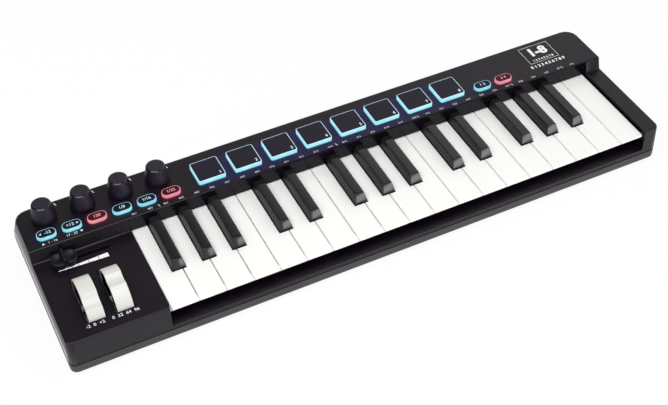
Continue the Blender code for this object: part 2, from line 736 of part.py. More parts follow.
def make_top_case(parts):
    """The cover: deck, raised panel over a sloped back, right cheek, front lip and ledge, hollow below."""
    side = [
        (FRONT - PAST, SEAM - PAST),
        (FRONT - PAST, DECK),
        (PANEL_WALL - STEP_LEAN, DECK),
        (PANEL_WALL, PANEL),
        (BACK + PAST, PANEL),
        (BACK + PAST, SEAM - PAST),
    ]
    cover = prism(side, LEFT - PAST, RIGHT + PAST, along="X")
    plan = case_plan(0.0, FRONT_CORNER, BASE_CORNER)
    top_plan = case_plan(0.0, FRONT_CORNER, PANEL_CORNER, PANEL_BACK)
    leaned = [(x - math.copysign(SIDE_LEAN, x), y) for x, y in top_plan]
    sides = lofted([(plan, SEAM), (leaned, PANEL), (leaned, PANEL + PAST)])
    combine(cover, sides, "INTERSECT")
    bevelled(cover, EDGE_ROUND, 2, 40.0)
    below = SEAM - PAST
    inner_left = LEFT + CASE_WALL
    inner_right = RIGHT - CASE_WALL
    inner_front = FRONT + CASE_WALL
    wall_back = PANEL_WALL + CASE_WALL
    relief = LEDGE + INNER_WALL_RELIEF
    room_rings = []
    for height, corner, level in (
        (SEAM, BASE_CORNER, below),
        (SEAM, BASE_CORNER, SEAM),
        (PANEL_UNDER, PANEL_CORNER, PANEL_UNDER),
    ):
        inner_back = back_at(height) - CASE_WALL
        ring = [
            (inner_left, wall_back, 0.0),
            (inner_right, wall_back, 0.0),
            (inner_right, inner_back, corner - CASE_WALL),
            (inner_left, inner_back, corner - CASE_WALL),
        ]
        room_rings.append((rounded_outline(ring), level))
    cut(
        cover,
        lofted(room_rings),
        box((inner_left, inner_front, below), (BAY_LEFT - CASE_WALL, wall_back + CASE_WALL, DECK_UNDER)),
        box((BAY_RIGHT + CASE_WALL, inner_front, below), (inner_right, wall_back + CASE_WALL, DECK_UNDER)),
        box((BAY_LEFT, FRONT - PAST, LEDGE), (BAY_RIGHT, PANEL_WALL, PANEL + PAST)),
        box((BAY_LEFT, LEDGE_BACK, below), (BAY_RIGHT, wall_back + CASE_WALL, KEY_TOP + WALL_OVER_KEYS)),
        box((BAY_LEFT - PAST, inner_front, below), (BAY_RIGHT + PAST, PANEL_WALL, LEDGE - LEDGE_THICKNESS)),
        box((BAY_LEFT - PAST, LEDGE_BACK, below), (BAY_RIGHT + PAST, PANEL_WALL, relief)),
    )
    for x, y, ceiling in screw_places():
        join(cover, cylinder(BOSS_RADIUS, SEAM, ceiling + CASE_WALL / 2, (x, y, 0.0), segments=12))
    bores = [
        cylinder(BOSS_BORE, below, SEAM + BOSS_BORE_DEPTH, (x, y, 0.0), segments=8)
        for x, y, _ in screw_places()
    ]
    post_end = PANEL_BOARD_TOP + CLEARANCE
    post_root = PANEL_UNDER + CASE_WALL / 2
    posts = [
        cylinder(BOARD_POST_RADIUS, post_end, post_root, (x, y, 0.0), segments=10)
        for x, y in board_posts()
    ]
    join(cover, gathered(posts))
    wheel_slots = [wheel_slot(PITCH_WHEEL_X), wheel_slot(MODULATION_WHEEL_X)]
    fader_slot = rounded_rectangle(
        (FADER_X, FADER_Y),
        FADER_TRAVEL + FADER_STEM_LENGTH + 2 * CLEARANCE,
        FADER_STEM_THICKNESS + 2 * CLEARANCE,
        FADER_STEM_THICKNESS / 2,
        45.0,
    )
    cut(
        cover,
        gathered(bores),
        panel_holes(),
        gathered(wheel_slots),
        prism(fader_slot, DECK_UNDER - PAST / 4, DECK + PAST),
        prism(socket_outline(CLEARANCE), PANEL_BACK - CASE_WALL - PAST / 4, BACK + PAST, along="Y"),
    )
    return finish(cover, "top_case", material("case_black", CASE_BLACK), parts)


def wheel_slot(x):
    """The cutter for one wheel's slot in the deck."""
    rise = DECK - WHEEL_AXIS
    reach = math.sqrt(WHEEL_RADIUS**2 - (rise - CASE_WALL) ** 2)
    half_width = WHEEL_WIDTH / 2 + WHEEL_SLOT_CLEARANCE
    half_length = reach + CLEARANCE
    return box(
        (x - half_width, WHEEL_Y - half_length, DECK_UNDER - PAST / 4),
        (x + half_width, WHEEL_Y + half_length, DECK + PAST),
    )


def cradle(low, high):
    """An upright of the tray whose round seat carries a wheel's stub axle."""
    seat = STUB_RADIUS + CLEARANCE / 2
    top = WHEEL_AXIS + CRADLE_RISE
    outline = [
        (WHEEL_Y - CRADLE_DEPTH / 2, FLOOR - CASE_WALL / 2),
        (WHEEL_Y + CRADLE_DEPTH / 2, FLOOR - CASE_WALL / 2),
        (WHEEL_Y + CRADLE_DEPTH / 2, top),
        (WHEEL_Y + seat, top),
    ]
    for count in range(9):
        angle = -math.pi * count / 8
        outline.append((WHEEL_Y + seat * math.cos(angle), WHEEL_AXIS + seat * math.sin(angle)))
    outline += [(WHEEL_Y - seat, top), (WHEEL_Y - CRADLE_DEPTH / 2, top)]
    return prism(outline, low, high, along="X")


def make_bottom_case(parts):
    """The tray: floor, round lower edge, tongue, feet, screw posts, ribs and wheel cradles."""
    rings = []
    for count in range(5):
        angle = math.radians(22.5 * count)
        inset = TRAY_EDGE_ROUND * (1 - math.sin(angle))
        height = TRAY_BOTTOM + TRAY_EDGE_ROUND * (1 - math.cos(angle))
        rings.append((case_plan(inset, FRONT_CORNER - inset, BASE_CORNER - inset), height))
    rings.append((case_plan(0.0, FRONT_CORNER, BASE_CORNER), SHOULDER))
    tray = lofted(rings)
    tongue_inset = CASE_WALL + CLEARANCE
    tongue_corner = BASE_CORNER - tongue_inset
    front_corner = FRONT_CORNER - tongue_inset
    tongue_back = back_at(SEAM + TONGUE_HEIGHT)
    tongue_plan = case_plan(tongue_inset, front_corner, tongue_corner, tongue_back)
    tongue = prism(tongue_plan, FLOOR, SHOULDER + TONGUE_HEIGHT)
    room_inset = tongue_inset + TONGUE_THICKNESS
    room = prism(case_plan(room_inset, 0.0, 0.0, tongue_back), FLOOR, KEY_TOP)
    combine(tray, tongue, "UNION")
    combine(tray, room, "DIFFERENCE")
    rib_top = FRAME_BOTTOM - CLEARANCE
    rib_places = (LEDGE_BACK + PAST, CONTACT_Y, PIVOT_Y)
    for y in rib_places:
        join(
            tray,
            box(
                (BAY_LEFT + CASE_WALL, y - RIB_THICKNESS / 2, FLOOR - CASE_WALL / 2),
                (BAY_RIGHT - CASE_WALL, y + RIB_THICKNESS / 2, rib_top),
            ),
        )
    side = WHEEL_WIDTH / 2 + CLEARANCE
    join(
        tray,
        cradle(PITCH_WHEEL_X - side - CRADLE_THICKNESS, PITCH_WHEEL_X - side),
        cradle(PITCH_WHEEL_X + side, MODULATION_WHEEL_X - side),
        cradle(MODULATION_WHEEL_X + side, MODULATION_WHEEL_X + side + CRADLE_THICKNESS),
    )
    for x, y, _ in screw_places():
        top = SEAM - CLEARANCE
        join(tray, cylinder(POST_RADIUS, FLOOR - CASE_WALL / 2, top, (x, y, 0.0), segments=12))
    for x in (LEFT + FOOT_INSET, RIGHT - FOOT_INSET):
        for y in (FRONT + FOOT_INSET, BACK - FOOT_INSET):
            join(tray, cylinder(FOOT_RADIUS, 0.0, TRAY_BOTTOM + CASE_WALL / 2, (x, y, 0.0), segments=20))
    for x, y, _ in screw_places():
        centre = (x, y, 0.0)
        boss_room = BOSS_RADIUS + CLEARANCE
        cut(
            tray,
            cylinder(SCREW_HOLE, -PAST, SEAM + PAST, centre, segments=8),
            cylinder(SCREW_HEAD_HOLE, -PAST, TRAY_BOTTOM + SCREW_HEAD_DEPTH, centre, segments=12),
            cylinder(boss_room, SEAM - CLEARANCE, SEAM + PAST, centre, segments=12),
        )
    return finish(tray, "bottom_case", material("tray_grey", TRAY_GREY), parts)


def make_key_frame(parts):
    """The frame under the keys: a plate, the rod that the keys hang on, and a guide for each key."""
    left = BAY_LEFT + CLEARANCE
    right = BAY_RIGHT - CLEARANCE
    frame = box((left, LEDGE_BACK + CLEARANCE, FRAME_BOTTOM), (right, TAIL_END, FRAME_TOP))
    web = box(
        (left, PIVOT_Y - ROD_WEB / 2, FRAME_TOP - FRAME_THICKNESS / 2),
        (right, PIVOT_Y + ROD_WEB / 2, PIVOT_Z),
    )
    rod = cylinder(ROD_RADIUS, left, right, (0.0, PIVOT_Y, PIVOT_Z), along="X", segments=16)
    join(frame, web, rod)
    guides = []
    top = KEY_TOP - LIP_THICKNESS - KEY_DIP - CLEARANCE
    for note, x, cell in note_row():
        sharp = note.endswith("_sharp")
        width = (BLACK_WIDTH if sharp else WHITE_PITCH - KEY_GAP) - 2 * KEY_WALL - 2 * GUIDE_CLEARANCE
        y = KEY_FRONT + (BLACK_GUIDE_REACH if sharp else WHITE_GUIDE_REACH)
        low = (x - width / 2, y - GUIDE_DEPTH / 2, FRAME_TOP - FRAME_THICKNESS / 2)
        guides.append(box(low, (x + width / 2, y + GUIDE_DEPTH / 2, top)))
    join(frame, gathered(guides))
    return finish(frame, "key_frame", material("frame_grey", FRAME_GREY), parts)


def make_contact_board(parts):
    """The board under the keys: a rubber contact for each key, and the fader at its left end."""
    left = LEFT + CASE_WALL + CASE_WALL
    right = BAY_RIGHT - CLEARANCE
    front = CONTACT_Y - CONTACT_BOARD_DEPTH / 2
    back = CONTACT_Y + CONTACT_BOARD_DEPTH / 2
    board = box((left, front, CONTACT_BOARD_BOTTOM), (right, back, CONTACT_BOARD_TOP))
    drop = KEY_DIP * (PIVOT_Y - CONTACT_Y + DOME_SIZE / 2) / (PIVOT_Y - KEY_FRONT)
    dome_top = KEY_BOTTOM - drop - CLEARANCE
    half = DOME_SIZE / 2
    middle = CONTACT_BOARD_TOP - BOARD_THICKNESS / 2
    domes = []
    for note, x, cell in note_row():
        domes.append(box((x - half, CONTACT_Y - half, middle), (x + half, CONTACT_Y + half, dome_top)))
    join(board, gathered(domes))
    half_length = FADER_TRAVEL / 2 + FADER_STEM_LENGTH / 2 + FADER_BODY_MARGIN
    groove = FADER_TRAVEL / 2 + FADER_STEM_LENGTH / 2 + CLEARANCE
    half_depth = FADER_BODY_DEPTH / 2
    half_groove = FADER_STEM_THICKNESS / 2 + CLEARANCE
    top = DECK_UNDER - CLEARANCE
    fader = box(
        (FADER_X - half_length, FADER_Y - half_depth, middle),
        (FADER_X + half_length, FADER_Y + half_depth, top),
    )
    slot = box(
        (FADER_X - groove, FADER_Y - half_groove, top - FADER_GROOVE_DEPTH),
        (FADER_X + groove, FADER_Y + half_groove, top + PAST),
    )
    join(board, fader)
    cut(board, slot)
    return finish(board, "contact_board", material("board_green", BOARD_GREEN), parts)


def make_panel_board(parts):
    """The board under the raised panel: sensors, switches, knob controls and the USB socket."""
    left = LEFT + CASE_WALL + PANEL_BOARD_INSET
    right = RIGHT - CASE_WALL - PANEL_BOARD_INSET
    front = PANEL_WALL + CASE_WALL + PANEL_BOARD_EDGE
    back = back_at(PANEL_BOARD_TOP) - CASE_WALL - PANEL_BOARD_EDGE
    board = box((left, front, PANEL_BOARD_BOTTOM), (right, back, PANEL_BOARD_TOP))
    middle = PANEL_BOARD_TOP - BOARD_THICKNESS / 2
    sensor_top = PANEL_BOARD_TOP + SENSOR_THICKNESS
    blocks = []
    for x, y in pad_places():
        half = PAD_SIZE / 2 - PAD_CORNER
        blocks.append(box((x - half, y - half, middle), (x + half, y + half, sensor_top)))
    for x, y in button_places():
        half = BUTTON_DEPTH / 2 - CONTROL_CHAMFER
        blocks.append(box((x - half, y - half, middle), (x + half, y + half, sensor_top)))
    pot_top = min(PANEL_BOARD_TOP + POT_HEIGHT, PANEL_UNDER - CLEARANCE)
    for x, y in knob_places():
        blocks.append(cylinder(POT_RADIUS, middle, pot_top, (x, y, 0.0), segments=16))
    join(board, gathered(blocks))
    bores = []
    for x, y in knob_places():
        radius = KNOB_SHAFT_RADIUS + CLEARANCE
        bores.append(cylinder(radius, pot_top - POT_BORE_DEPTH, pot_top + PAST, (x, y, 0.0), segments=12))
    cut(board, gathered(bores))
    mouth = back_at(PANEL_BOARD_TOP + SOCKET_HEIGHT) - SOCKET_RECESS
    shell = prism(socket_outline(0.0), mouth - SOCKET_BODY_DEPTH, mouth, along="Y")
    foot = box(
        (SOCKET_X - SOCKET_LENGTH / 3, mouth - SOCKET_BODY_DEPTH, middle),
        (SOCKET_X + SOCKET_LENGTH / 3, back, PANEL_BOARD_TOP + SOCKET_SHELL / 2),
    )
    hollow = prism(socket_outline(-SOCKET_SHELL), mouth - SOCKET_BODY_DEPTH * 0.8, mouth + PAST, along="Y")
    tongue_z = PANEL_BOARD_TOP + SOCKET_HEIGHT / 2
    tongue = box(
        (SOCKET_X - SOCKET_LENGTH / 3, mouth - SOCKET_BODY_DEPTH * 0.9, tongue_z - SOCKET_TONGUE / 2),
        (SOCKET_X + SOCKET_LENGTH / 3, mouth - SOCKET_RECESS, tongue_z + SOCKET_TONGUE / 2),
    )
    cut(shell, hollow)
    join(shell, tongue)
    join(board, foot, shell)
    return finish(board, "panel_board", material("board_green_panel", BOARD_GREEN), parts)


def plunger(outline, flange_outline, rise):
    """A pad or button: a block through the panel, with a flange under the panel that keeps it in."""
    low = PANEL_BOARD_TOP + SENSOR_THICKNESS + PRESS_TRAVEL + CLEARANCE
    block = prism(outline, low, PANEL + rise, CONTROL_CHAMFER)
    flange_top = PANEL_UNDER - CLEARANCE
    flange = prism(flange_outline, flange_top - FLANGE_THICKNESS, flange_top)
    return set_origin(join(block, flange), (0.0, 0.0, PANEL))


def make_pads(parts):
    """The eight square pads, which share one mesh."""
    look = material("pad_black", CONTROL_BLACK)
    side = PAD_SIZE + 2 * FLANGE
    shape = plunger(
        rounded_rectangle((0.0, 0.0), PAD_SIZE, PAD_SIZE, PAD_CORNER, 45.0),
        rounded_rectangle((0.0, 0.0), side, side, 0.0),
        PAD_RISE,
    )
    place_copies(shape, "pad", pad_places(), {}, look, parts)


def make_buttons(parts):
    """The eight pill-shaped buttons: three glow pink and five cyan."""
    navy = material("button_navy", BUTTON_NAVY)
    red = material("button_red", BUTTON_RED)
    length = BUTTON_LENGTH + 2 * FLANGE
    depth = BUTTON_DEPTH + 2 * FLANGE
    shape = plunger(
        rounded_rectangle((0.0, 0.0), BUTTON_LENGTH, BUTTON_DEPTH, BUTTON_DEPTH / 2, 30.0),
        rounded_rectangle((0.0, 0.0), length, depth, 0.0),
        BUTTON_RISE,
    )
    place_copies(shape, "button", button_places(), dict.fromkeys(PINK_BUTTONS, red), navy, parts)


def place_copies(shape, name, places, special_looks, look, parts):
    """Puts one copy of a shape at each place, numbered from 1, with its own material by number."""
    finish(shape, name, look, parts)
    for number, (x, y) in enumerate(places, start=1):
        copy = bpy.data.objects.new(f"{name}_{number}", shape.data)
        parts.objects.link(copy)
        copy.location = (x, y, shape.location.z)
        copy.material_slots[0].link = "OBJECT"
        copy.material_slots[0].material = special_looks.get(number, look)
    bpy.data.objects.remove(shape)


def make_knobs(parts):
    """The four turned knobs, each with the shaft that it turns."""
    skirt = PANEL + CLEARANCE
    top = PANEL + KNOB_HEIGHT
    pot_top = min(PANEL_BOARD_TOP + POT_HEIGHT, PANEL_UNDER - CLEARANCE)
    shaft_end = pot_top - POT_BORE_DEPTH + CLEARANCE
    profile = [
        (0.0, top),
        (KNOB_TOP_RADIUS - KNOB_EDGE, top),
        (KNOB_TOP_RADIUS - KNOB_EDGE * 0.3, top - KNOB_EDGE * 0.3),
        (KNOB_TOP_RADIUS, top - KNOB_EDGE),
        (KNOB_RADIUS, skirt),
        (KNOB_SHAFT_RADIUS, skirt),
        (KNOB_SHAFT_RADIUS, shaft_end),
        (0.0, shaft_end),
    ]
    shape = set_origin(turned(profile, 24), (0.0, 0.0, PANEL))
    look = material("knob_black", CONTROL_BLACK)
    place_copies(shape, "knob", knob_places(), {}, look, parts)


def make_wheel(name, x, notch_angle, look, parts):
    """A wheel cut flat below its axle, with two stub axles and a finger notch across its rim."""
    half = WHEEL_WIDTH / 2
    centre = (x, WHEEL_Y, WHEEL_AXIS)
    wheel = cylinder(WHEEL_RADIUS, x - half, x + half, centre, along="X", segments=48)
    reach = WHEEL_RADIUS + NOTCH_RADIUS - NOTCH_DEPTH
    angle = math.radians(notch_angle)
    notch_y = WHEEL_Y + reach * math.sin(angle)
    notch_z = WHEEL_AXIS + reach * math.cos(angle)
    notch = cylinder(
        NOTCH_RADIUS,
        x - half - PAST,
        x + half + PAST,
        (x, notch_y, notch_z),
        along="X",
        segments=32,
    )
    under = WHEEL_AXIS - WHEEL_CUT_DEPTH
    below = box(
        (x - half - PAST, WHEEL_Y - WHEEL_RADIUS - PAST, under - WHEEL_RADIUS),
        (x + half + PAST, WHEEL_Y + WHEEL_RADIUS + PAST, under),
    )
    cut(wheel, notch, below)
    bevelled(wheel, WHEEL_EDGE, 1, 60.0)
    stub_end = half + STUB_LENGTH
    join(wheel, cylinder(STUB_RADIUS, x - stub_end, x + stub_end, centre, along="X", segments=16))
    return finish(set_origin(wheel, centre), name, look, parts)


def make_fader_cap(parts):
    """The fader's cap, with a ridge between two finger scoops, and the stem below it."""
    skirt = DECK + CLEARANCE
    half = FADER_CAP_LENGTH / 2
    ridge = FADER_RIDGE_WIDTH / 2
    x = FADER_CAP_X
    outline = [
        (x - half, skirt),
        (x + half, skirt),
        (x + half, DECK + FADER_CAP_HEIGHT),
        (x + half * 0.7, DECK + FADER_CAP_HEIGHT * 0.9),
        (x + half * 0.4, DECK + FADER_CAP_HEIGHT),
        (x + ridge * 1.4, DECK + FADER_RIDGE_HEIGHT * 0.8),
        (x + ridge, DECK + FADER_RIDGE_HEIGHT),
        (x - ridge, DECK + FADER_RIDGE_HEIGHT),
        (x - ridge * 1.4, DECK + FADER_RIDGE_HEIGHT * 0.8),
        (x - half * 0.4, DECK + FADER_CAP_HEIGHT),
        (x - half * 0.7, DECK + FADER_CAP_HEIGHT * 0.9),
        (x - half, DECK + FADER_CAP_HEIGHT),
    ]
    cap = prism(outline, FADER_Y - FADER_CAP_DEPTH / 2, FADER_Y + FADER_CAP_DEPTH / 2, along="Y")
    plan = rounded_rectangle((x, FADER_Y), FADER_CAP_LENGTH, FADER_CAP_DEPTH, FADER_CAP_CORNER)
    combine(cap, prism(plan, DECK, DECK + FADER_RIDGE_HEIGHT + PAST), "INTERSECT")
    bevelled(cap, CONTROL_CHAMFER / 2, 1, 60.0)
    half_stem = FADER_STEM_LENGTH / 2
    half_thick = FADER_STEM_THICKNESS / 2
    low = DECK_UNDER - FADER_GROOVE_DEPTH + CLEARANCE
    stem = box(
        (x - half_stem, FADER_Y - half_thick, low),
        (x + half_stem, FADER_Y + half_thick, skirt + CLEARANCE),
    )
    join(cap, stem)
    set_origin(cap, (x, FADER_Y, DECK))
    return finish(cap, "fader_cap", material("fader_black", CONTROL_BLACK), parts)


def build():
    """Makes every piece of the keyboard."""
    clear_scene()
    parts = bpy.data.collections.new("mini_midi_keyboard")
    bpy.context.scene.collection.children.link(parts)
    make_top_case(parts)
    make_bottom_case(parts)
    make_key_frame(parts)
    make_contact_board(parts)
    make_panel_board(parts)
    wheel_look = material("wheel_white", WHEEL_WHITE)
    make_wheel("pitch_wheel", PITCH_WHEEL_X, PITCH_NOTCH_ANGLE, wheel_look, parts)
    make_wheel("modulation_wheel", MODULATION_WHEEL_X, MODULATION_NOTCH_ANGLE, wheel_look, parts)
    make_fader_cap(parts)
    make_knobs(parts)
    make_pads(parts)
    make_buttons(parts)
    make_keys(parts)


build()
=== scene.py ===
"""Looks of the mini MIDI keyboard: finishes, lit controls, printed marks, studio and camera.

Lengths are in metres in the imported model's frame: X runs along the keys to the right, Y to the
back and Z up. New pieces are surfaces worked out as whole numpy arrays, and every finish is
procedural.
"""

import json
import logging
import math
from collections.abc import Mapping, Sequence
from dataclasses import dataclass, field
from enum import Enum
from typing import Any

import bmesh
import bpy
import numpy as np
from mathutils import Matrix, Vector


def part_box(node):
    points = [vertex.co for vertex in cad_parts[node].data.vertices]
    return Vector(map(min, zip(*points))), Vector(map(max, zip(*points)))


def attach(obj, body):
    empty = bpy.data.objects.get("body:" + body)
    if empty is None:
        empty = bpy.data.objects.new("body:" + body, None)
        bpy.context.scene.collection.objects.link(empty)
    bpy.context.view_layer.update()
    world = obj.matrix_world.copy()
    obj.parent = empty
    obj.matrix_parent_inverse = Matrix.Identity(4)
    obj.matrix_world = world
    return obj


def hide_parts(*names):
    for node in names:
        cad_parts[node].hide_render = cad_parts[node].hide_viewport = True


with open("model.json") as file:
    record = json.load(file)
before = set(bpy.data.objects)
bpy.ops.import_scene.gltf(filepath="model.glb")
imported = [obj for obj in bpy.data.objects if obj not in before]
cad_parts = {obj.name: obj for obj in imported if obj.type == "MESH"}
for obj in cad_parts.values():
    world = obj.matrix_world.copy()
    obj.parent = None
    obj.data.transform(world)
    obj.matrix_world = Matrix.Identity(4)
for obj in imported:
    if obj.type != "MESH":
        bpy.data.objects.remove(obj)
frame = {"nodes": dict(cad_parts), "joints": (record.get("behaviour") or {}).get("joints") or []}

log = logging.getLogger("keyboard")

Array = np.ndarray
Colour = tuple[float, float, float]
Place = tuple[float, float]
Point = tuple[float, float, float]

MM = 0.001
KEYS = sorted(name for name in frame["nodes"] if name.startswith("key_") and name[4:6].isdigit())
BLACK_KEYS = [name for name in KEYS if name.endswith("_sharp")]
WHITE_KEYS = [name for name in KEYS if name not in BLACK_KEYS]
PADS = [f"pad_{number}" for number in range(1, 9)]
BUTTONS = [f"button_{number}" for number in range(1, 9)]
KNOBS = [f"knob_{number}" for number in range(1, 5)]
PINK_BUTTONS = ("button_3", "button_6", "button_8")


class Axis(Enum):
    """The direction that a shell's section climbs, with the order that brings it there."""

    X = (2, 0, 1)
    Z = (0, 1, 2)


# ---- places


def middle_of(node: str) -> Vector:
    """The middle of a CAD node's box."""
    low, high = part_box(node)
    return (low + high) / 2


STEP_RISE = 9.1 * MM
KEY_GAP = 0.6 * MM
KEY_LENGTH = 74.3 * MM
PAD_SIZE = 19.4 * MM

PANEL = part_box("top_case")[1].z
DECK = PANEL - STEP_RISE
KEYS_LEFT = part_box(WHITE_KEYS[0])[0].x - KEY_GAP / 2
KEY_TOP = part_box(WHITE_KEYS[0])[1].z
KEY_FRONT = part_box(WHITE_KEYS[0])[0].y


# ---- shapes


def around(count: int) -> Array:
    """Angles, even over a full turn."""
    return np.linspace(0.0, 2 * np.pi, count, endpoint=False)


def directions(turns: Array) -> Array:
    """The unit vectors (cos t, sin t) at angles t."""
    return np.stack([np.cos(turns), np.sin(turns)], axis=-1)


def round_rectangles(sizes: Array, radii: Array, arc: int) -> tuple[Array, Array]:
    """Rectangles with round corners, all with the same number of points.

    A corner's point at angle t is its centre plus radius times (cos t, sin t), with t even over
    the corner's quarter turn.

    Args:
        sizes: Widths and depths of shape (n, 2).
        radii: The n corner radii.
        arc: Points on each corner.

    Returns:
        The points, of shape (n, 4 arc, 2), and the outward normals, of shape (4 arc, 2).
    """
    quarter = np.linspace(0.0, np.pi / 2, arc)
    normals = directions(np.arange(4)[:, None] * np.pi / 2 + quarter[None, :])
    signs = np.array([[1.0, 1.0], [-1.0, 1.0], [-1.0, -1.0], [1.0, -1.0]])
    centres = signs * (sizes / 2 - radii[:, None])[:, None, :]
    points = centres[:, :, None, :] + radii[:, None, None, None] * normals
    return points.reshape(len(sizes), -1, 2), normals.reshape(-1, 2)


def raised(flat: Array, heights: Array) -> Array:
    """Rings of flat points, of shape (rings, n, 2), with a height for each ring or point."""
    level = np.broadcast_to(heights.reshape(len(flat), -1, 1), (*flat.shape[:2], 1))
    return np.concatenate([flat, level], axis=-1)


@dataclass(frozen=True)
class Outline:
    """A closed curve, counterclockwise, as points and outward unit normals of shape (n, 2)."""

    points: Array
    normals: Array

    @staticmethod
    def rounded(width: float, depth: float, radius: float, arc: int) -> "Outline":
        """A rectangle with round corners, centred on the origin.

        Args:
            width: Its size along X.
            depth: Its size along Y.
            radius: Its corner radius.
            arc: Points on each corner.

        Returns:
            The outline.
        """
        size, radii = np.array([[width, depth]]), np.array([radius])
        points, normals = round_rectangles(size, radii, arc)
        return Outline(points[0], normals)

    @staticmethod
    def circle(radius: float, count: int) -> "Outline":
        """A circle: radius times (cos t, sin t), with t even over a full turn."""
        normals = directions(around(count))
        return Outline(radius * normals, normals)

    @staticmethod
    def polar(turns: Array, radii: Array) -> "Outline":
        """A curve of given radius at each angle, its normal a quarter turn from its tangent.

        Args:
            turns: Angles, rising over a full turn.
            radii: The radius at each angle.

        Returns:
            The outline, with tangents taken from each point's two neighbours.
        """
        points = radii[:, None] * directions(turns)
        tangents = np.roll(points, -1, axis=0) - np.roll(points, 1, axis=0)
        normals = np.stack([tangents[:, 1], -tangents[:, 0]], axis=-1)
        return Outline(points, normals / np.linalg.norm(normals, axis=1, keepdims=True))

    def stepped_in(self, insets: Array) -> Array:
        """The rings outline(u) - inset(v) * normal(u), of shape (insets, n, 2)."""
        return self.points[None] - insets[:, None, None] * self.normals[None]


def eased_path(corners: Sequence[Place], radii: Sequence[float], steps: int = 5) -> Array:
    """A path through corners, each inner corner rounded by a quadratic curve.

    Between the points a and b that lie a radius before and after the corner c, the curve is
    (1 - t)^2 a + 2 t (1 - t) c + t^2 b.

    Args:
        corners: The path's corners.
        radii: How far from each corner its curve starts, 0 at the two ends.
        steps: Points on each curve.

    Returns:
        The points of the path, shape (n, 2), with repeats left out.
    """
    path = np.array(corners, float)
    reach = np.array(radii, float)[:, None]
    before = np.vstack([path[:1], path[:-1]]) - path
    after = np.vstack([path[1:], path[-1:]]) - path
    before /= np.maximum(np.linalg.norm(before, axis=1, keepdims=True), 1e-12)
    after /= np.maximum(np.linalg.norm(after, axis=1, keepdims=True), 1e-12)
    start = (path + before * reach)[:, None, :]
    end = (path + after * reach)[:, None, :]
    t = np.linspace(0.0, 1.0, steps)[None, :, None]
    curve = (1 - t) ** 2 * start + 2 * t * (1 - t) * path[:, None, :] + t**2 * end
    points = curve.reshape(-1, 2)
    moved = np.linalg.norm(np.diff(points, axis=0), axis=1) > 1e-7
    return points[np.concatenate([[True], moved])]


def link(name: str, mesh: bpy.types.Mesh) -> bpy.types.Object:
    """Puts a mesh into the scene.

    Args:
        name: The new object's name.
        mesh: Its mesh.

    Returns:
        The new object.
    """
    piece = bpy.data.objects.new(name, mesh)
    bpy.context.scene.collection.objects.link(piece)
    return piece


def closed_grid(name: str, grid: Array) -> bpy.types.Object:
    """A closed surface from rings of points, bottom ring first, with a fan at each end.

    Args:
        name: The piece's name.
        grid: Points of shape (rings, points of a ring, 3), each ring counterclockwise.

    Returns:
        The piece, smooth where its faces meet at less than 35 degrees.
    """
    rings, count = grid.shape[:2]
    points = np.vstack([grid.reshape(-1, 3), grid[0].mean(axis=0), grid[-1].mean(axis=0)])
    here = np.arange(count)
    after = (here + 1) % count
    row = (np.arange(rings - 1) * count)[:, None]
    quads = np.stack([row + here, row + after, row + count + after, row + count + here], axis=-1)
    top = (rings - 1) * count
    low_fan = np.stack([np.full(count, rings * count), after, here], axis=-1)
    high_fan = np.stack([np.full(count, rings * count + 1), top + here, top + after], axis=-1)
    faces = [*quads.reshape(-1, 4).tolist(), *low_fan.tolist(), *high_fan.tolist()]
    mesh = bpy.data.meshes.new(name)
    mesh.from_pydata(points.tolist(), [], faces)
    mesh.shade_smooth()
    mesh.set_sharp_from_angle(angle=math.radians(35))
    return link(name, mesh)


def shell(
    name: str,
    outline: Outline,
    section: Array,
    centre: Sequence[float],
    axis: Axis = Axis.Z,
) -> bpy.types.Object:
    """A profile carried round an outline.

    The point at (u, v) is outline(u) - inset(v) * normal(u), raised to height(v).

    Args:
        name: The piece's name.
        outline: The curve that the profile is carried round.
        section: Insets and heights of shape (n, 2), from the bottom up.
        centre: Where the outline's origin and height 0 go.
        axis: The direction that the heights climb.

    Returns:
        The closed piece.
    """
    grid = raised(outline.stepped_in(section[:, 0]), section[:, 1])[..., list(axis.value)]
    return closed_grid(name, grid + np.array(centre, float))


def read(items: Any, name: str, width: int = 1, kind: type = float) -> Array:
    """One property of every item of a mesh, such as each face's normal.

    Args:
        items: The mesh's faces, edges or loops.
        name: The property.
        width: How many numbers it has.
        kind: The numbers' type.

    Returns:
        The numbers, in one row for each item.
    """
    values = np.empty(len(items) * width, kind)
    items.foreach_get(name, values)
    return values.reshape(-1, width) if width > 1 else values


def mark_sharp(mesh: bpy.types.Mesh) -> None:
    """Marks a mesh's sharp edges, and keeps its flat areas flat.

    The mean of the normals on either side of an edge has the length cos(angle / 2). An edge is
    sharp where the angle is over 38 degrees, and where it is small but one side is square to
    an axis.

    Args:
        mesh: The mesh, in the model's frame.
    """
    flat, least = 0.99995, math.cos(math.radians(38.0) / 2)
    normals = read(mesh.polygons, "normal", 3)
    square = np.abs(normals).max(axis=1, keepdims=True) > flat
    corners = read(mesh.polygons, "loop_total", 1, np.int32)
    sides = np.repeat(np.hstack([normals, square]), corners, axis=0)
    edges = read(mesh.loops, "edge_index", 1, np.int32)
    count = len(mesh.edges)
    sums = np.stack([np.bincount(edges, weights=side, minlength=count) for side in sides.T])
    faces = np.maximum(np.bincount(edges, minlength=count), 1)
    mean = np.linalg.norm(sums[:3], axis=0) / faces
    sharp = (mean < least) | ((sums[3] > 0) & (mean < flat))
    marks = mesh.attributes.get("sharp_edge")
    marks = marks or mesh.attributes.new("sharp_edge", "BOOLEAN", "EDGE")
    marks.data.foreach_set("value", sharp)


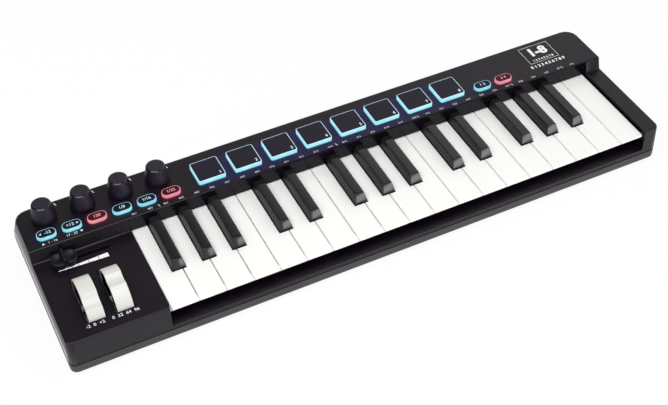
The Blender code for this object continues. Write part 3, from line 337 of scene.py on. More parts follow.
def merged_copy(name: str, node: str, cleared: bool = False) -> bpy.types.Object:
    """A smooth copy of a CAD piece with its doubles merged.

    Args:
        name: The copy's name.
        node: The CAD node that is copied.
        cleared: Whether the edges inside its flat areas are dissolved.

    Returns:
        The copy.
    """
    shape = bmesh.new()
    shape.from_mesh(frame["nodes"][node].data)
    bmesh.ops.remove_doubles(shape, verts=shape.verts, dist=0.002 * MM)
    if cleared:
        edges, verts = shape.edges, shape.verts
        bmesh.ops.dissolve_limit(shape, angle_limit=math.radians(1.0), verts=verts, edges=edges)
    mesh = bpy.data.meshes.new(name)
    shape.to_mesh(mesh)
    shape.free()
    mesh.shade_smooth()
    return link(name, mesh)


def round_edges(piece: bpy.types.Object, width: float) -> None:
    """Rounds a piece's edges and keeps its faces flat, with live modifiers.

    Args:
        piece: The piece.
        width: How far from an edge its rounding starts.
    """
    bevel = piece.modifiers.new("Rounding", "BEVEL")
    bevel.width = width
    bevel.segments = 2
    bevel.limit_method = "ANGLE"
    bevel.angle_limit = math.radians(30)
    piece.modifiers.new("Flat faces", "WEIGHTED_NORMAL")


# ---- printed marks


@dataclass
class PrintSheet:
    """Thin printed marks that end up as one mesh."""

    name: str
    thickness: float = 0.03 * MM
    shape: bmesh.types.BMesh = field(default_factory=bmesh.new)

    def polygon(self, points: Array, place: Place, height: float) -> None:
        """Adds a filled polygon as a thin plate.

        Args:
            points: The corners, counterclockwise, of shape (n, 2).
            place: X and Y that the polygon's origin goes to.
            height: Z of the surface that it is printed on.
        """
        at = np.asarray(points, float) + np.array(place, float)
        low = np.column_stack([at, np.full(len(at), height)])
        high = low + np.array([0.0, 0.0, self.thickness])
        count = len(at)
        here = np.arange(count)
        after = (here + 1) % count
        walls = np.stack([here, after, after + count, here + count], axis=-1).tolist()
        mesh = bpy.data.meshes.new("mark")
        corners = np.vstack([low, high]).tolist()
        mesh.from_pydata(corners, [], [*walls, here[::-1].tolist(), (here + count).tolist()])
        self.shape.from_mesh(mesh)
        bpy.data.meshes.remove(mesh)

    def bar(
        self, width: float, depth: float, place: Place, height: float, slant: float = 0.0
    ) -> None:
        """Adds a bar.

        Args:
            width: Its size along X.
            depth: Its size along Y.
            place: X and Y of its middle.
            height: Z of the surface that it is printed on.
            slant: How far its back edge is shifted along X from its front edge.
        """
        half_x, half_y, lean = width / 2, depth / 2, slant / 2
        near = [(-half_x - lean, -half_y), (half_x - lean, -half_y)]
        far = [(half_x + lean, half_y), (-half_x + lean, half_y)]
        self.polygon(np.array(near + far), place, height)

    def triangle(self, size: float, turn: float, place: Place, height: float) -> None:
        """Adds an even triangle that points along +X, turned by an angle in degrees."""
        angles = np.radians(turn) + np.array([0.0, 2.0, 4.0]) * np.pi / 3
        self.polygon(size * directions(angles), place, height)

    def number(
        self, text: str, size: float, place: Place, height: float, weight: float = 0.0
    ) -> None:
        """Adds plain figures.

        Args:
            text: Figures, and signs such as + and -.
            size: Their nominal height.
            place: X and Y of their middle.
            height: Z of the surface that they are printed on.
            weight: How far each stroke's outline is grown, as a share of the size.
        """
        curve = bpy.data.curves.new("figures", "FONT")
        curve.body = text
        curve.size = size
        curve.align_x = "CENTER"
        curve.align_y = "CENTER"
        curve.extrude = self.thickness / 2
        curve.offset = size * weight
        curve.resolution_u = 3
        written = bpy.data.objects.new("figures", curve)
        bpy.context.scene.collection.objects.link(written)
        graph = bpy.context.evaluated_depsgraph_get()
        mesh = bpy.data.meshes.new_from_object(written.evaluated_get(graph))
        mesh.transform(Matrix.Translation((*place, height + self.thickness / 2)))
        self.shape.from_mesh(mesh)
        bpy.data.objects.remove(written)
        bpy.data.meshes.remove(mesh)

    def piece(self) -> bpy.types.Object:
        """Turns the marks into one piece, after which the sheet is spent.

        Returns:
            The piece.
        """
        mesh = bpy.data.meshes.new(self.name)
        bmesh.ops.recalc_face_normals(self.shape, faces=self.shape.faces)
        self.shape.to_mesh(mesh)
        self.shape.free()
        return link(self.name, mesh)


# ---- finishes

SMOOTH = {"interpolation_type": "SMOOTHSTEP"}
WHITE = (1.0, 1.0, 1.0)
CLOUD, SMEAR, SPECK = 35 * MM, 22 * MM, 1.4 * MM


class Wire:
    """An output of a node, with arithmetic that adds Math nodes."""

    def __init__(self, sheet: "NodeSheet", socket: bpy.types.NodeSocket) -> None:
        """Wraps one output socket of a sheet."""
        self.sheet = sheet
        self.socket = socket

    def __add__(self, other: "Wire | float") -> "Wire":
        """The sum."""
        return self.sheet.math("ADD", self, other)

    def __sub__(self, other: "Wire | float") -> "Wire":
        """The difference."""
        return self.sheet.math("SUBTRACT", self, other)

    def __rsub__(self, other: float) -> "Wire":
        """The difference from a plain number."""
        return self.sheet.math("SUBTRACT", other, self)

    def __mul__(self, other: "Wire | float") -> "Wire":
        """The product."""
        return self.sheet.math("MULTIPLY", self, other)

    __radd__ = __add__
    __rmul__ = __mul__

    def __abs__(self) -> "Wire":
        """The size without its sign."""
        return self.sheet.math("ABSOLUTE", self)

    def at_least(self, other: "Wire | float") -> "Wire":
        """The larger of two numbers."""
        return self.sheet.math("MAXIMUM", self, other)

    def root(self) -> "Wire":
        """The square root."""
        return self.sheet.math("SQRT", self)

    def rise(self, low: float, high: float) -> "Wire":
        """A smooth step from 0 at low to 1 at high, where high may be the smaller."""
        sockets = {"Value": self, "From Min": low, "From Max": high}
        return self.sheet.wire("ShaderNodeMapRange", SMOOTH, sockets)


class NodeSheet:
    """The node tree of a material or a world."""

    def __init__(self, owner: bpy.types.Material | bpy.types.World) -> None:
        """Starts a tree with no nodes.

        Args:
            owner: The material or world whose tree it is.
        """
        owner.use_nodes = True
        self.owner = owner
        self.tree = owner.node_tree
        self.tree.nodes.clear()

    def add(
        self, kind: str, settings: Mapping[str, Any], sockets: Mapping[str | int, Any]
    ) -> bpy.types.Node:
        """Adds a node.

        Args:
            kind: The node's type.
            settings: Its settings, which are set first.
            sockets: Values or wires of its inputs, by name or number.

        Returns:
            The node.
        """
        node = self.tree.nodes.new(kind)
        for name, value in settings.items():
            setattr(node, name, value)
        for name, value in sockets.items():
            self.plug(node.inputs[name], value)
        return node

    def wire(
        self,
        kind: str,
        settings: Mapping[str, Any],
        sockets: Mapping[str | int, Any],
        output: str | int = 0,
    ) -> Wire:
        """Adds a node as add does, and gives one of its outputs."""
        return Wire(self, self.add(kind, settings, sockets).outputs[output])

    def plug(self, socket: bpy.types.NodeSocket, value: Any) -> None:
        """Links a wire to a socket, or sets the socket to a plain value.

        Args:
            socket: The input socket.
            value: A wire, a number, or three numbers for a colour or a vector.
        """
        if isinstance(value, Wire):
            self.tree.links.new(value.socket, socket)
        elif isinstance(value, tuple) and socket.type == "RGBA":
            socket.default_value = (*value, 1.0)
        else:
            socket.default_value = value

    def math(self, operation: str, *values: Wire | float) -> Wire:
        """One Math node's result."""
        return self.wire("ShaderNodeMath", {"operation": operation}, dict(enumerate(values)))

    def split(self, vector: Wire) -> tuple[Wire, Wire, Wire]:
        """X, Y and Z of a vector."""
        parts = self.add("ShaderNodeSeparateXYZ", {}, {0: vector})
        return tuple(Wire(self, part) for part in parts.outputs)

    def place(self) -> tuple[Wire, Wire, Wire]:
        """X, Y and Z of the point in the object's own frame."""
        return self.split(self.vector())

    def vector(self, stretch: Point = (1.0, 1.0, 1.0)) -> Wire:
        """The point in the object's own frame, stretched.

        Args:
            stretch: Factors along X, Y and Z.

        Returns:
            The vector.
        """
        source = self.wire("ShaderNodeTexCoord", {}, {}, "Object")
        if stretch == (1.0, 1.0, 1.0):
            return source
        return self.wire("ShaderNodeMapping", {}, {"Vector": source, "Scale": stretch})

    def noise(self, size: float, detail: float = 2.0, stretch: Point = (1.0, 1.0, 1.0)) -> Wire:
        """Noise from 0 to 1 with features of about a size in metres."""
        sockets = {"Vector": self.vector(stretch), "Scale": 1.0 / size, "Detail": detail}
        return self.wire("ShaderNodeTexNoise", {}, sockets)

    def blend(self, share: Wire | float, first: Any, second: Any) -> Wire:
        """A colour between two colours."""
        settings = {"data_type": "RGBA", "clamp_factor": True}
        return self.wire("ShaderNodeMix", settings, {0: share, 6: first, 7: second}, 2)


class Surface(NodeSheet):
    """The node tree of one material, round one Principled surface."""

    def __init__(self, name: str) -> None:
        """Starts a material.

        Args:
            name: The material's name.
        """
        super().__init__(bpy.data.materials.new(name))
        self.principled = self.add("ShaderNodeBsdfPrincipled", {}, {})
        self.shader = Wire(self, self.principled.outputs[0])
        self.output = self.add("ShaderNodeOutputMaterial", {}, {"Surface": self.shader})

    def give(self, name: str, value: Any) -> None:
        """Links or sets one of the surface's inputs."""
        self.plug(self.principled.inputs[name], value)

    def glow(self, value: Wire) -> None:
        """Sets the light that the surface gives off."""
        self.give("Emission Strength", 1.0)
        self.give("Emission Color", value)

    def relief(self, height: Wire, depth: float) -> None:
        """Bumps the surface by a height from 0 to 1 that stands for a depth."""
        sockets = {"Height": height, "Distance": depth, "Strength": 1.0}
        self.give("Normal", self.wire("ShaderNodeBump", {}, sockets))


def scaled(colour: Colour, factor: float) -> Colour:
    """A colour times a number."""
    return (colour[0] * factor, colour[1] * factor, colour[2] * factor)


@dataclass(frozen=True)
class Plastic:
    """Moulded plastic with a fine grain, cloudy colour and uneven gloss.

    Attributes:
        name: The material's name.
        base: Linear colour.
        rough: Mean roughness.
        grain: Size of the grain.
        depth: Depth of the grain.
        mottle: How far the colour wanders, as a share.
        gloss: How far the roughness wanders.
        specular: Specular level.
    """

    name: str
    base: Colour
    rough: float
    grain: float = 0.3 * MM
    depth: float = 0.01 * MM
    mottle: float = 0.08
    gloss: float = 0.06
    specular: float = 0.5

    def make(self) -> bpy.types.Material:
        """Makes the material, whose colour, gloss and grain wander over the piece.

        Returns:
            The material.
        """
        sheet = Surface(self.name)
        mottle = sheet.noise(CLOUD, 4.0) * 0.65 + sheet.noise(SPECK, 3.0) * 0.35
        dark = scaled(self.base, 1.0 - self.mottle)
        light = scaled(self.base, 1.0 + self.mottle)
        sheet.give("Base Color", sheet.blend(mottle.rise(0.3, 0.7), dark, light))
        smear = sheet.noise(SMEAR, 3.0, (1.0, 2.5, 1.0))
        fine = sheet.noise(self.grain * 2.2)
        uneven = (smear - 0.5) * self.gloss * 1.6 + (fine - 0.5) * self.gloss
        sheet.give("Roughness", uneven + self.rough + self.matting(sheet))
        sheet.relief(sheet.noise(self.grain, 3.0), self.depth)
        sheet.give("Specular IOR Level", self.specular)
        self.extra(sheet)
        return sheet.owner

    def matting(self, sheet: Surface) -> Wire | float:
        """What a finish of this kind adds to the roughness."""
        return 0.0

    def extra(self, sheet: Surface) -> None:
        """What a finish of this kind adds."""


@dataclass(frozen=True)
class CoverPlastic(Plastic):
    """The cover's plastic, with the light that the pads and buttons spill onto it painted in as
    glow.

    Attributes:
        polish: How much smoother the two end walls come from the mould.
        pad_glow: Painted glow for the light that the pads spill.
        pad_halo: How far from a pad its light reaches.
        cyan_glow: Painted glow for the light that a blue button spills.
        pink_glow: Painted glow for the light that a pink button spills.
        button_halo: Where a button's light ends, and where it is full.
        straight: Half the length of the line that a button's light spreads from.
    """

    polish: float = 0.24
    # These colours are painted glow on the cover, standing in for the light that the pads and
    # buttons spill onto the panel.
    pad_glow: Colour = (0.004, 0.0005, 0.042)
    pad_halo: float = 12 * MM
    cyan_glow: Colour = (0.0, 0.003, 0.016)
    pink_glow: Colour = (0.03, 0.0, 0.004)
    button_halo: Place = (7.2 * MM, 4.0 * MM)
    straight: float = 3.0 * MM

    def matting(self, sheet: Surface) -> Wire | float:
        """Smooths the two end walls.

        Args:
            sheet: The material's tree.

        Returns:
            What is added to the roughness.
        """
        x, _, _ = sheet.place()
        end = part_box("top_case")[1].x
        return abs(x).rise(end - 0.4 * MM, end - 0.1 * MM) * -self.polish

    def extra(self, sheet: Surface) -> None:
        """Paints the spilled light in as glow: a halo that fades with the distance from each lit
        control.

        Args:
            sheet: The material's tree.
        """
        x, y, z = sheet.place()
        on_top = z.rise(DECK, PANEL - 1 * MM)
        first = middle_of("pad_1")
        last = middle_of("pad_8")
        pitch = middle_of("pad_2").x - first.x
        half = PAD_SIZE / 2
        beside = sheet.math("PINGPONG", x - first.x, pitch / 2)
        beyond = (x - last.x).at_least(0.0) + (first.x - x).at_least(0.0)
        aside = (beside - half).at_least(0.0) + beyond
        behind = (y - first.y - half).at_least(0.0) * 3.0
        before = (first.y - half - y).at_least(0.0)
        away = (aside * aside + behind * behind + before * before).root()
        halo = away.rise(self.pad_halo, 0.0) * on_top
        # Painted glow for the pads' spilled light, strongest next to the pads.
        glow = sheet.blend(halo, (0.0, 0.0, 0.0), self.pad_glow)
        for node in BUTTONS:
            spot = middle_of(node)
            along = (abs(x - spot.x) - self.straight).at_least(0.0)
            across = abs(y - spot.y)
            reach = (along * along + across * across).root()
            # Each button adds painted glow in the colour of its own light.
            tint = self.pink_glow if node in PINK_BUTTONS else self.cyan_glow
            share = reach.rise(*self.button_halo) * on_top
            glow = sheet.blend(share, glow, tint)
        sheet.glow(glow)


@dataclass(frozen=True)
class KnobPlastic(Plastic):
    """The knobs' soft plastic, worn shiny round the edge of the top.

    Attributes:
        polish: How much smoother that edge is.
    """

    polish: float = 0.27

    def matting(self, sheet: Surface) -> Wire | float:
        """Smooths a narrow ring where the side turns into the top.

        Args:
            sheet: The material's tree.

        Returns:
            What is added to the roughness.
        """
        _, _, z = sheet.place()
        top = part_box("knob_1")[1].z
        ring = z.rise(top - 0.7 * MM, top - 0.5 * MM) * z.rise(top - 0.01 * MM, top - 0.05 * MM)
        return ring * -self.polish


@dataclass(frozen=True)
class BlackKeyPlastic(Plastic):
    """The black keys' plastic, polished on top and satin on the sides.

    Attributes:
        satin: How much rougher the sides are.
        edge: Heights over the white keys that the top begins and the satin is full at.
    """

    satin: float = 0.3
    edge: Place = (6.75 * MM, 6.3 * MM)

    def matting(self, sheet: Surface) -> Wire | float:
        """Roughens what is under the top's edge, but not the front slope.

        Args:
            sheet: The material's tree.

        Returns:
            What is added to the roughness.
        """
        _, _, z = sheet.place()
        _, facing, _ = sheet.split(sheet.wire("ShaderNodeNewGeometry", {}, {}, "Normal"))
        aside = facing.rise(-0.75, -0.45)
        top, full = self.edge
        return z.rise(KEY_TOP + top, KEY_TOP + full) * aside * self.satin


@dataclass(frozen=True)
class TrayPlastic(Plastic):
    """The tray's grained plastic, with dark rubber on the four feet.

    Attributes:
        rubber: The feet's colour.
        underside: Heights between which the plastic ends and the rubber begins.
    """

    rubber: Colour = (0.008, 0.008, 0.008)
    underside: Place = (1.35 * MM, 1.25 * MM)

    def extra(self, sheet: Surface) -> None:
        """Darkens everything under the tray's floor, which is the feet.

        Args:
            sheet: The material's tree.
        """
        _, _, z = sheet.place()
        foot = z.rise(*self.underside)
        cloud = sheet.noise(20 * MM).rise(0.3, 0.7)
        grey = sheet.blend(cloud, scaled(self.base, 0.92), scaled(self.base, 1.08))
        sheet.give("Base Color", sheet.blend(foot, grey, self.rubber))


@dataclass(frozen=True)
class Silicone:
    """Translucent silicone lit from inside.

    Attributes:
        name: The material's name.
        body: Colour of the silicone itself.
        light: Colour that it glows in.
        pale: Colour where the light is strongest.
        crest: Colour of the thin rim round the top.
        top: Height of that rim over the panel.
        patch: Size of the patches that the lamps brighten.
        foot: Heights over the panel between which the light comes up.
        edge: Depths under the top between which the rim's colour sets in.
    """

    name: str
    body: Colour
    light: Colour
    pale: Colour
    crest: Colour
    top: float
    patch: float = 7 * MM
    foot: Place = (-0.2 * MM, 0.9 * MM)
    edge: Place = (0.35 * MM, 0.05 * MM)

    def make(self) -> bpy.types.Material:
        """Makes the material, brighter in soft patches where the lamps sit, paler at the rim.

        Returns:
            The material.
        """
        sheet = Surface(self.name)
        _, _, z = sheet.place()
        patch = sheet.noise(self.patch, 1.0).rise(0.35, 0.75)
        glow = sheet.blend(patch, self.light, self.pale)
        foot = z.rise(PANEL + self.foot[0], PANEL + self.foot[1])
        glow = sheet.blend(foot, scaled(self.light, 0.45), glow)
        level = PANEL + self.top
        rim = z.rise(level - self.edge[0], level - self.edge[1])
        glow = sheet.blend(rim, glow, self.crest)
        sheet.give("Base Color", self.body)
        sheet.glow(glow)
        sheet.give("Roughness", 0.42 + (sheet.noise(2 * MM) - 0.5) * 0.1)
        sheet.relief(sheet.noise(0.5 * MM), 0.006 * MM)
        return sheet.owner


@dataclass(frozen=True)
class Ink:
    """Printed ink, or a clear mark that lets the light through; plain ink may be given a painted
    glow.

    Attributes:
        name: The material's name.
        base: Colour of the ink.
        light: Colour that it glows in, black where it doesn't: the light through a clear mark, or a
            painted glow on plain ink.
    """

    name: str
    base: Colour
    light: Colour = (0.0, 0.0, 0.0)

    def make(self) -> bpy.types.Material:
        """Makes the material, a little worn.

        Returns:
            The material.
        """
        sheet = Surface(self.name)
        worn = sheet.noise(0.6 * MM, 3.0).rise(0.25, 0.6)
        sheet.give("Base Color", sheet.blend(worn, scaled(self.base, 0.8), self.base))
        if any(self.light):
            sheet.glow(sheet.blend(worn, scaled(self.light, 0.8), self.light))
        sheet.give("Roughness", 0.5 + (sheet.noise(1 * MM) - 0.5) * 0.2)
        return sheet.owner


@dataclass(frozen=True)
class BoardFinish:
    """A circuit board: solder mask over faint tracks, with a second finish above a height.

    Attributes:
        name: The material's name.
        top: Height of the board's upper face.
        part: Colour of what stands on the board.
        part_rough: Roughness of what stands on the board.
        lane: Half the pitch of the tracks.
    """

    name: str
    top: float
    part: Colour
    part_rough: float
    lane: float = 0.9 * MM

    def make(self) -> bpy.types.Material:
        """Makes the material, whose tracks run along X and wander a little.

        Returns:
            The material.
        """
        sheet = Surface(self.name)
        _, y, z = sheet.place()
        over = z.rise(self.top + 0.02 * MM, self.top + 0.05 * MM)
        wander = sheet.noise(9 * MM, 1.0)
        lane = sheet.math("PINGPONG", y + wander * 3 * MM, self.lane)
        track = lane.rise(0.62 * MM, 0.7 * MM)
        mask = sheet.blend(track, (0.006, 0.075, 0.03), (0.02, 0.16, 0.06))
        mask = sheet.blend(sheet.noise(14 * MM, 3.0).rise(0.3, 0.8), mask, (0.01, 0.09, 0.04))
        sheet.give("Base Color", sheet.blend(over, mask, self.part))
        uneven = (sheet.noise(1 * MM) - 0.5) * 0.08
        sheet.give("Roughness", 0.3 + over * (self.part_rough - 0.3) + uneven)
        sheet.relief(track * 0.6 + sheet.noise(0.4 * MM) * 0.4, 0.02 * MM)
        return sheet.owner


@dataclass(frozen=True)
class Steel:
    """Plated steel with fine turned scratches."""

    name: str
    base: Colour = (0.32, 0.31, 0.30)

    def make(self) -> bpy.types.Material:
        """Makes the material, whose scratches run along X.

        Returns:
            The material.
        """
        sheet = Surface(self.name)
        streak = sheet.noise(0.25 * MM, 3.0, (1.0, 6.0, 1.0))
        dark, light = scaled(self.base, 0.8), scaled(self.base, 1.15)
        sheet.give("Base Color", sheet.blend(streak, dark, light))
        sheet.give("Roughness", 0.3 + streak * 0.2)
        sheet.relief(streak, 0.004 * MM)
        sheet.give("Metallic", 1.0)
        return sheet.owner


Finish = Plastic | Silicone | Ink | BoardFinish | Steel


@dataclass
class Workshop:
    """Makes each finish once and puts finished pieces on their bodies."""

    made: dict[str, bpy.types.Material] = field(default_factory=dict)

    def coat(self, piece: bpy.types.Object, finish: Finish) -> None:
        """Gives a piece, or a CAD node, a finish as its only material.

        Args:
            piece: The piece or node.
            finish: Its finish, which is made the first time that it is used.
        """
        if finish.name not in self.made:
            self.made[finish.name] = finish.make()
        piece.data.materials.clear()
        piece.data.materials.append(self.made[finish.name])

    def place(
        self, piece: bpy.types.Object, body: str, finish: Finish, slot: str, *nodes: str
    ) -> None:
        """Finishes a new piece and fixes it to a body.

        Args:
            piece: The new piece.
            body: The CAD body that it moves with.
            finish: Its finish.
            slot: The record's material slot; it is not used.
            nodes: CAD nodes that it stands for.
        """
        self.coat(piece, finish)
        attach(piece, body)
        if nodes:
            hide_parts(*nodes)
        log.info("%s rides on %s with %d faces", piece.name, body, len(piece.data.polygons))


COVER = CoverPlastic(
    "cover_plastic", (0.0048, 0.0019, 0.0062), 0.38, depth=0.005 * MM, specular=0.32
)
STEP_WALL = Plastic("step_wall_plastic", (0.004, 0.0025, 0.0055), 0.24, specular=0.2)
TRAY = TrayPlastic("tray_plastic", (0.034, 0.033, 0.035), 0.5, grain=0.6 * MM, depth=0.04 * MM)
FRAME = Plastic("frame_plastic", (0.03, 0.03, 0.031), 0.5)
WHITE_KEY = Plastic(
    "white_key_plastic", (0.92, 0.915, 0.895), 0.22, grain=1.2 * MM, depth=0.002 * MM, mottle=0.01
)
BLACK_KEY = BlackKeyPlastic(
    "black_key_plastic", (0.0135, 0.0115, 0.0135), 0.13, grain=0.9 * MM, depth=0.0025 * MM,
    mottle=0.15, gloss=0.04, specular=0.4,
)
WHEEL = Plastic("wheel_plastic", (0.68, 0.675, 0.64), 0.36, depth=0.004 * MM, mottle=0.025)
# Much of the purple in the knobs' colour is painted reflection of the pads' light on the near-black
# plastic.
SOFT_TOUCH = KnobPlastic("soft_touch_black", (0.0075, 0.0028, 0.0125), 0.45, depth=0.003 * MM)
FADER_PLASTIC = Plastic(
    "fader_plastic", (0.005, 0.0038, 0.0065), 0.5, depth=0.005 * MM, specular=0.3
)
PAD_RUBBER = Plastic(
    "pad_rubber", (0.0055, 0.0028, 0.0125), 0.5, grain=0.22 * MM, depth=0.008 * MM, specular=0.3
)
NAVY_TOP = Plastic("button_top_navy", (0.0008, 0.005, 0.017), 0.5, grain=0.2 * MM, specular=0.25)
RED_TOP = Plastic("button_top_red", (0.058, 0.0008, 0.0035), 0.5, grain=0.2 * MM, specular=0.2)
PAD_SILICONE = Silicone(
    "silicone_pad", (0.1, 0.17, 0.19), (0.27, 0.7, 0.79), (0.4, 0.82, 0.87), (0.5, 0.76, 0.9),
    3.0 * MM,
)
CYAN_SILICONE = Silicone(
    "silicone_cyan", (0.1, 0.17, 0.19), (0.17, 0.6, 0.76), (0.28, 0.76, 0.86), (0.25, 0.4, 0.5),
    2.5 * MM,
)
PINK_SILICONE = Silicone(
    "silicone_pink", (0.16, 0.08, 0.1), (0.72, 0.17, 0.25), (0.84, 0.26, 0.35), (0.5, 0.22, 0.27),
    2.5 * MM,
)
WHITE_INK = Ink("white_ink", (0.93, 0.93, 0.94))
# The panel's small print is given a faint painted glow; nothing lights it from behind.
SMALL_INK_PAINTED_GLOW = Ink("small_white_ink", (0.8, 0.79, 0.84), (0.04, 0.04, 0.05))
CYAN_INK = Ink("clear_mark_cyan", (0.25, 0.35, 0.4), (0.42, 0.56, 0.62))
PINK_INK = Ink("clear_mark_pink", (0.4, 0.2, 0.22), (0.62, 0.2, 0.24))
STEEL = Steel("plated_steel")


# ---- sub-assemblies


@dataclass
class Enclosure:
    """The cover and tray, the inner frame and boards, the case screws and the printed panel.

    Places of printed marks are X from the first key's left edge and Y from its front edge.
    """

    workshop: Workshop
    block_width: float = 66.85 * MM
    cheek_width: float = 12.6 * MM
    board_thickness: float = 1.6 * MM
    screw_side: float = 7.4 * MM
    screw_front: float = 9.0 * MM
    screw_back: float = 28.5 * MM
    cross_width: float = 0.56 * MM
    cross_reach: float = 1.45 * MM
    cross_depth: float = 0.45 * MM
    label_row: float = 76.85 * MM
    first_label: float = 4.65 * MM
    label_pitch: float = 10.87 * MM
    label_size: float = 2.3 * MM
    panel_ticks: tuple[float, ...] = (21.65, 150.65, 214.15, 290.65, 333.25)
    knob_tick: Place = (9.66 * MM, 8.4 * MM)
    wheel_row: float = 7.45 * MM
    scale_start: float = -53.45 * MM
    scale_length: float = 33.4 * MM
    scale_row: float = 59.15 * MM
    badge_low: Place = (315.25 * MM, 89.85 * MM)
    badge_high: Place = (339.05 * MM, 108.25 * MM)
    badge_line: float = 0.26 * MM

    def build(self) -> None:
        """Builds and dresses everything that stays still."""
        cover = merged_copy("cover", "top_case")
        tray = merged_copy("tray", "bottom_case")
        mark_sharp(cover.data)
        mark_sharp(tray.data)
        self.workshop.place(cover, "case", COVER, "case_black", "top_case")
        self.workshop.place(tray, "case", TRAY, "tray_grey", "bottom_case")
        self.finish_step(cover.data)
        self.workshop.coat(frame["nodes"]["key_frame"], FRAME)
        for node, part, rough in (
            ("contact_board", (0.03, 0.03, 0.032), 0.6),
            ("panel_board", (0.35, 0.35, 0.34), 0.35),
        ):
            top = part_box(node)[0].z + self.board_thickness
            finish = BoardFinish(f"{node}_finish", top, part, rough)
            self.workshop.coat(frame["nodes"][node], finish)
        self.screws()
        self.large_print()
        self.small_print()

    def finish_step(self, mesh: bpy.types.Mesh) -> None:
        """Gives the wall between the deck and the raised panel its own finish.

        Its faces are those that lean towards the player, lie at the wall's place along Y and
        have their centre between the deck and the panel.

        Args:
            mesh: The cover's mesh.
        """
        mesh.materials.append(STEP_WALL.make())
        centres = read(mesh.polygons, "center", 3)
        normals = read(mesh.polygons, "normal", 3)
        away = np.abs(centres[:, 1] - KEY_FRONT - KEY_LENGTH)
        level = (centres[:, 2] > DECK - 0.1 * MM) & (centres[:, 2] < PANEL)
        wall = (normals[:, 1] < -0.01) & (away < 3 * MM) & level
        mesh.polygons.foreach_set("material_index", wall.astype(np.int32))

    def screws(self) -> None:
        """Sinks a cross-head screw in each hole of the tray.

        A head is a profile turned about its axis: radius(v) times (cos u, sin u), at rest(v).
        Its cross is pressed in where a point is nearer than half the cross's width to either
        of two crossed lines.
        """
        low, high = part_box("bottom_case")
        near, far = low.y + self.screw_front, high.y - self.screw_back
        left, right = low.x + self.screw_side, high.x - self.cheek_width / 2
        block = low.x + self.block_width - self.screw_side
        radii = np.array([0.05, 0.3, 0.6, 0.9, 1.2, 1.5, 1.8, 2.1, 2.35, 2.5, 2.5, 1.3]) * MM
        rest = np.array([1.6, 1.6, 1.6, 1.62, 1.64, 1.67, 1.72, 1.8, 1.92, 2.1, 2.55, 2.55]) * MM
        flat = radii[:, None, None] * directions(around(48))
        in_cross = np.abs(flat).min(axis=-1) < self.cross_width / 2
        in_cross &= np.linalg.norm(flat, axis=-1) < self.cross_reach
        grid = raised(flat, rest[:, None] + in_cross * self.cross_depth)
        places = [(left, near), (block, near), (right, near), (left, far), (right, far)]
        for number, (x, y) in enumerate(places, start=1):
            head = closed_grid(f"case_screw_{number}", grid + np.array([x, y, 0.0]))
            self.workshop.place(head, "case", STEEL, "frame_grey")

    def large_print(self) -> None:
        """Prints the wheels' and the fader's scales and the framed numbers."""
        sheet = PrintSheet("scale_print")
        row = KEY_FRONT + self.wheel_row
        for text, x in (("-2  0  +2", -46.0), ("0  32  64  96", -26.6)):
            sheet.number(text, 3.4 * MM, (KEYS_LEFT + x * MM, row), DECK, 0.005)
        self.fader_scale(sheet)
        self.badge(sheet)
        self.workshop.place(sheet.piece(), "case", WHITE_INK, "key_white")

    def small_print(self) -> None:
        """Prints the panel's small marks: a number for each key, ticks and arrows."""
        sheet = PrintSheet("panel_print")
        row = KEY_FRONT + self.label_row
        for number in range(len(KEYS)):
            x = KEYS_LEFT + self.first_label + number * self.label_pitch
            sheet.number(f"{number + 1:03d}", self.label_size, (x, row), PANEL, -0.005)
        for x in self.panel_ticks:
            sheet.bar(0.4 * MM, 2.1 * MM, (KEYS_LEFT + x * MM, row), PANEL, -0.8 * MM)
        for node in KNOBS:
            spot = middle_of(node)
            place = (spot.x + self.knob_tick[0], spot.y + self.knob_tick[1])
            sheet.bar(0.6 * MM, 2.4 * MM, place, PANEL, -0.78 * MM)
        for turn, x, y in ((90.0, -56.3, 0.4), (-90.0, -30.6, 1.4)):
            sheet.triangle(1.2 * MM, turn, (KEYS_LEFT + x * MM, row + y * MM), PANEL)
        for text, x, y in (("1 - 16", -50.0, 0.6), ("17 - 32", -37.2, 0.9)):
            sheet.number(text, 2.7 * MM, (KEYS_LEFT + x * MM, row + y * MM), PANEL)
        self.workshop.place(sheet.piece(), "case", SMALL_INK_PAINTED_GLOW, "key_white")

    def badge(self, sheet: PrintSheet) -> None:
        """Draws a plain frame with the pads' numbers in it, and the ten figures below it.

        Args:
            sheet: The sheet that it is drawn on.
        """
        corner = np.array([KEYS_LEFT, KEY_FRONT])
        (left, front), (right, back) = corner + self.badge_low, corner + self.badge_high
        width, depth, line = right - left, back - front, self.badge_line
        x, y = (left + right) / 2, (front + back) / 2
        for edge in (front, back):
            sheet.bar(width + line, line, (x, edge), PANEL)
        for edge in (left, right):
            sheet.bar(line, depth - line, (edge, y), PANEL)
        for text, size, row, weight in (
            ("1-8", 11.5 * MM, y + 1.9 * MM, 0.05),
            ("1 2 3 4 5 6 7 8", 2.9 * MM, front + 2.4 * MM, 0.03),
            ("0 1 2 3 4 5 6 7 8 9", 3.8 * MM, front - 3.9 * MM, 0.04),
        ):
            sheet.number(text, size, (x, row), PANEL, weight)

    def fader_scale(self, sheet: PrintSheet) -> None:
        """Draws the wedge beside the fader as five blocks that grow to the right.

        Args:
            sheet: The sheet that it is drawn on.
        """
        gap, along = 0.35 * MM, np.arange(6) / 5
        edges = KEYS_LEFT + self.scale_start + self.scale_length * along
        thick = 0.5 * MM + 3.2 * MM * along
        for low, high, small, large in zip(edges, edges[1:], thick, thick[1:]):
            near = [(low, -small / 2), (high - gap, -large / 2)]
            far = [(high - gap, large / 2), (low, small / 2)]
            sheet.polygon(np.array(near + far), (0.0, KEY_FRONT + self.scale_row), DECK)


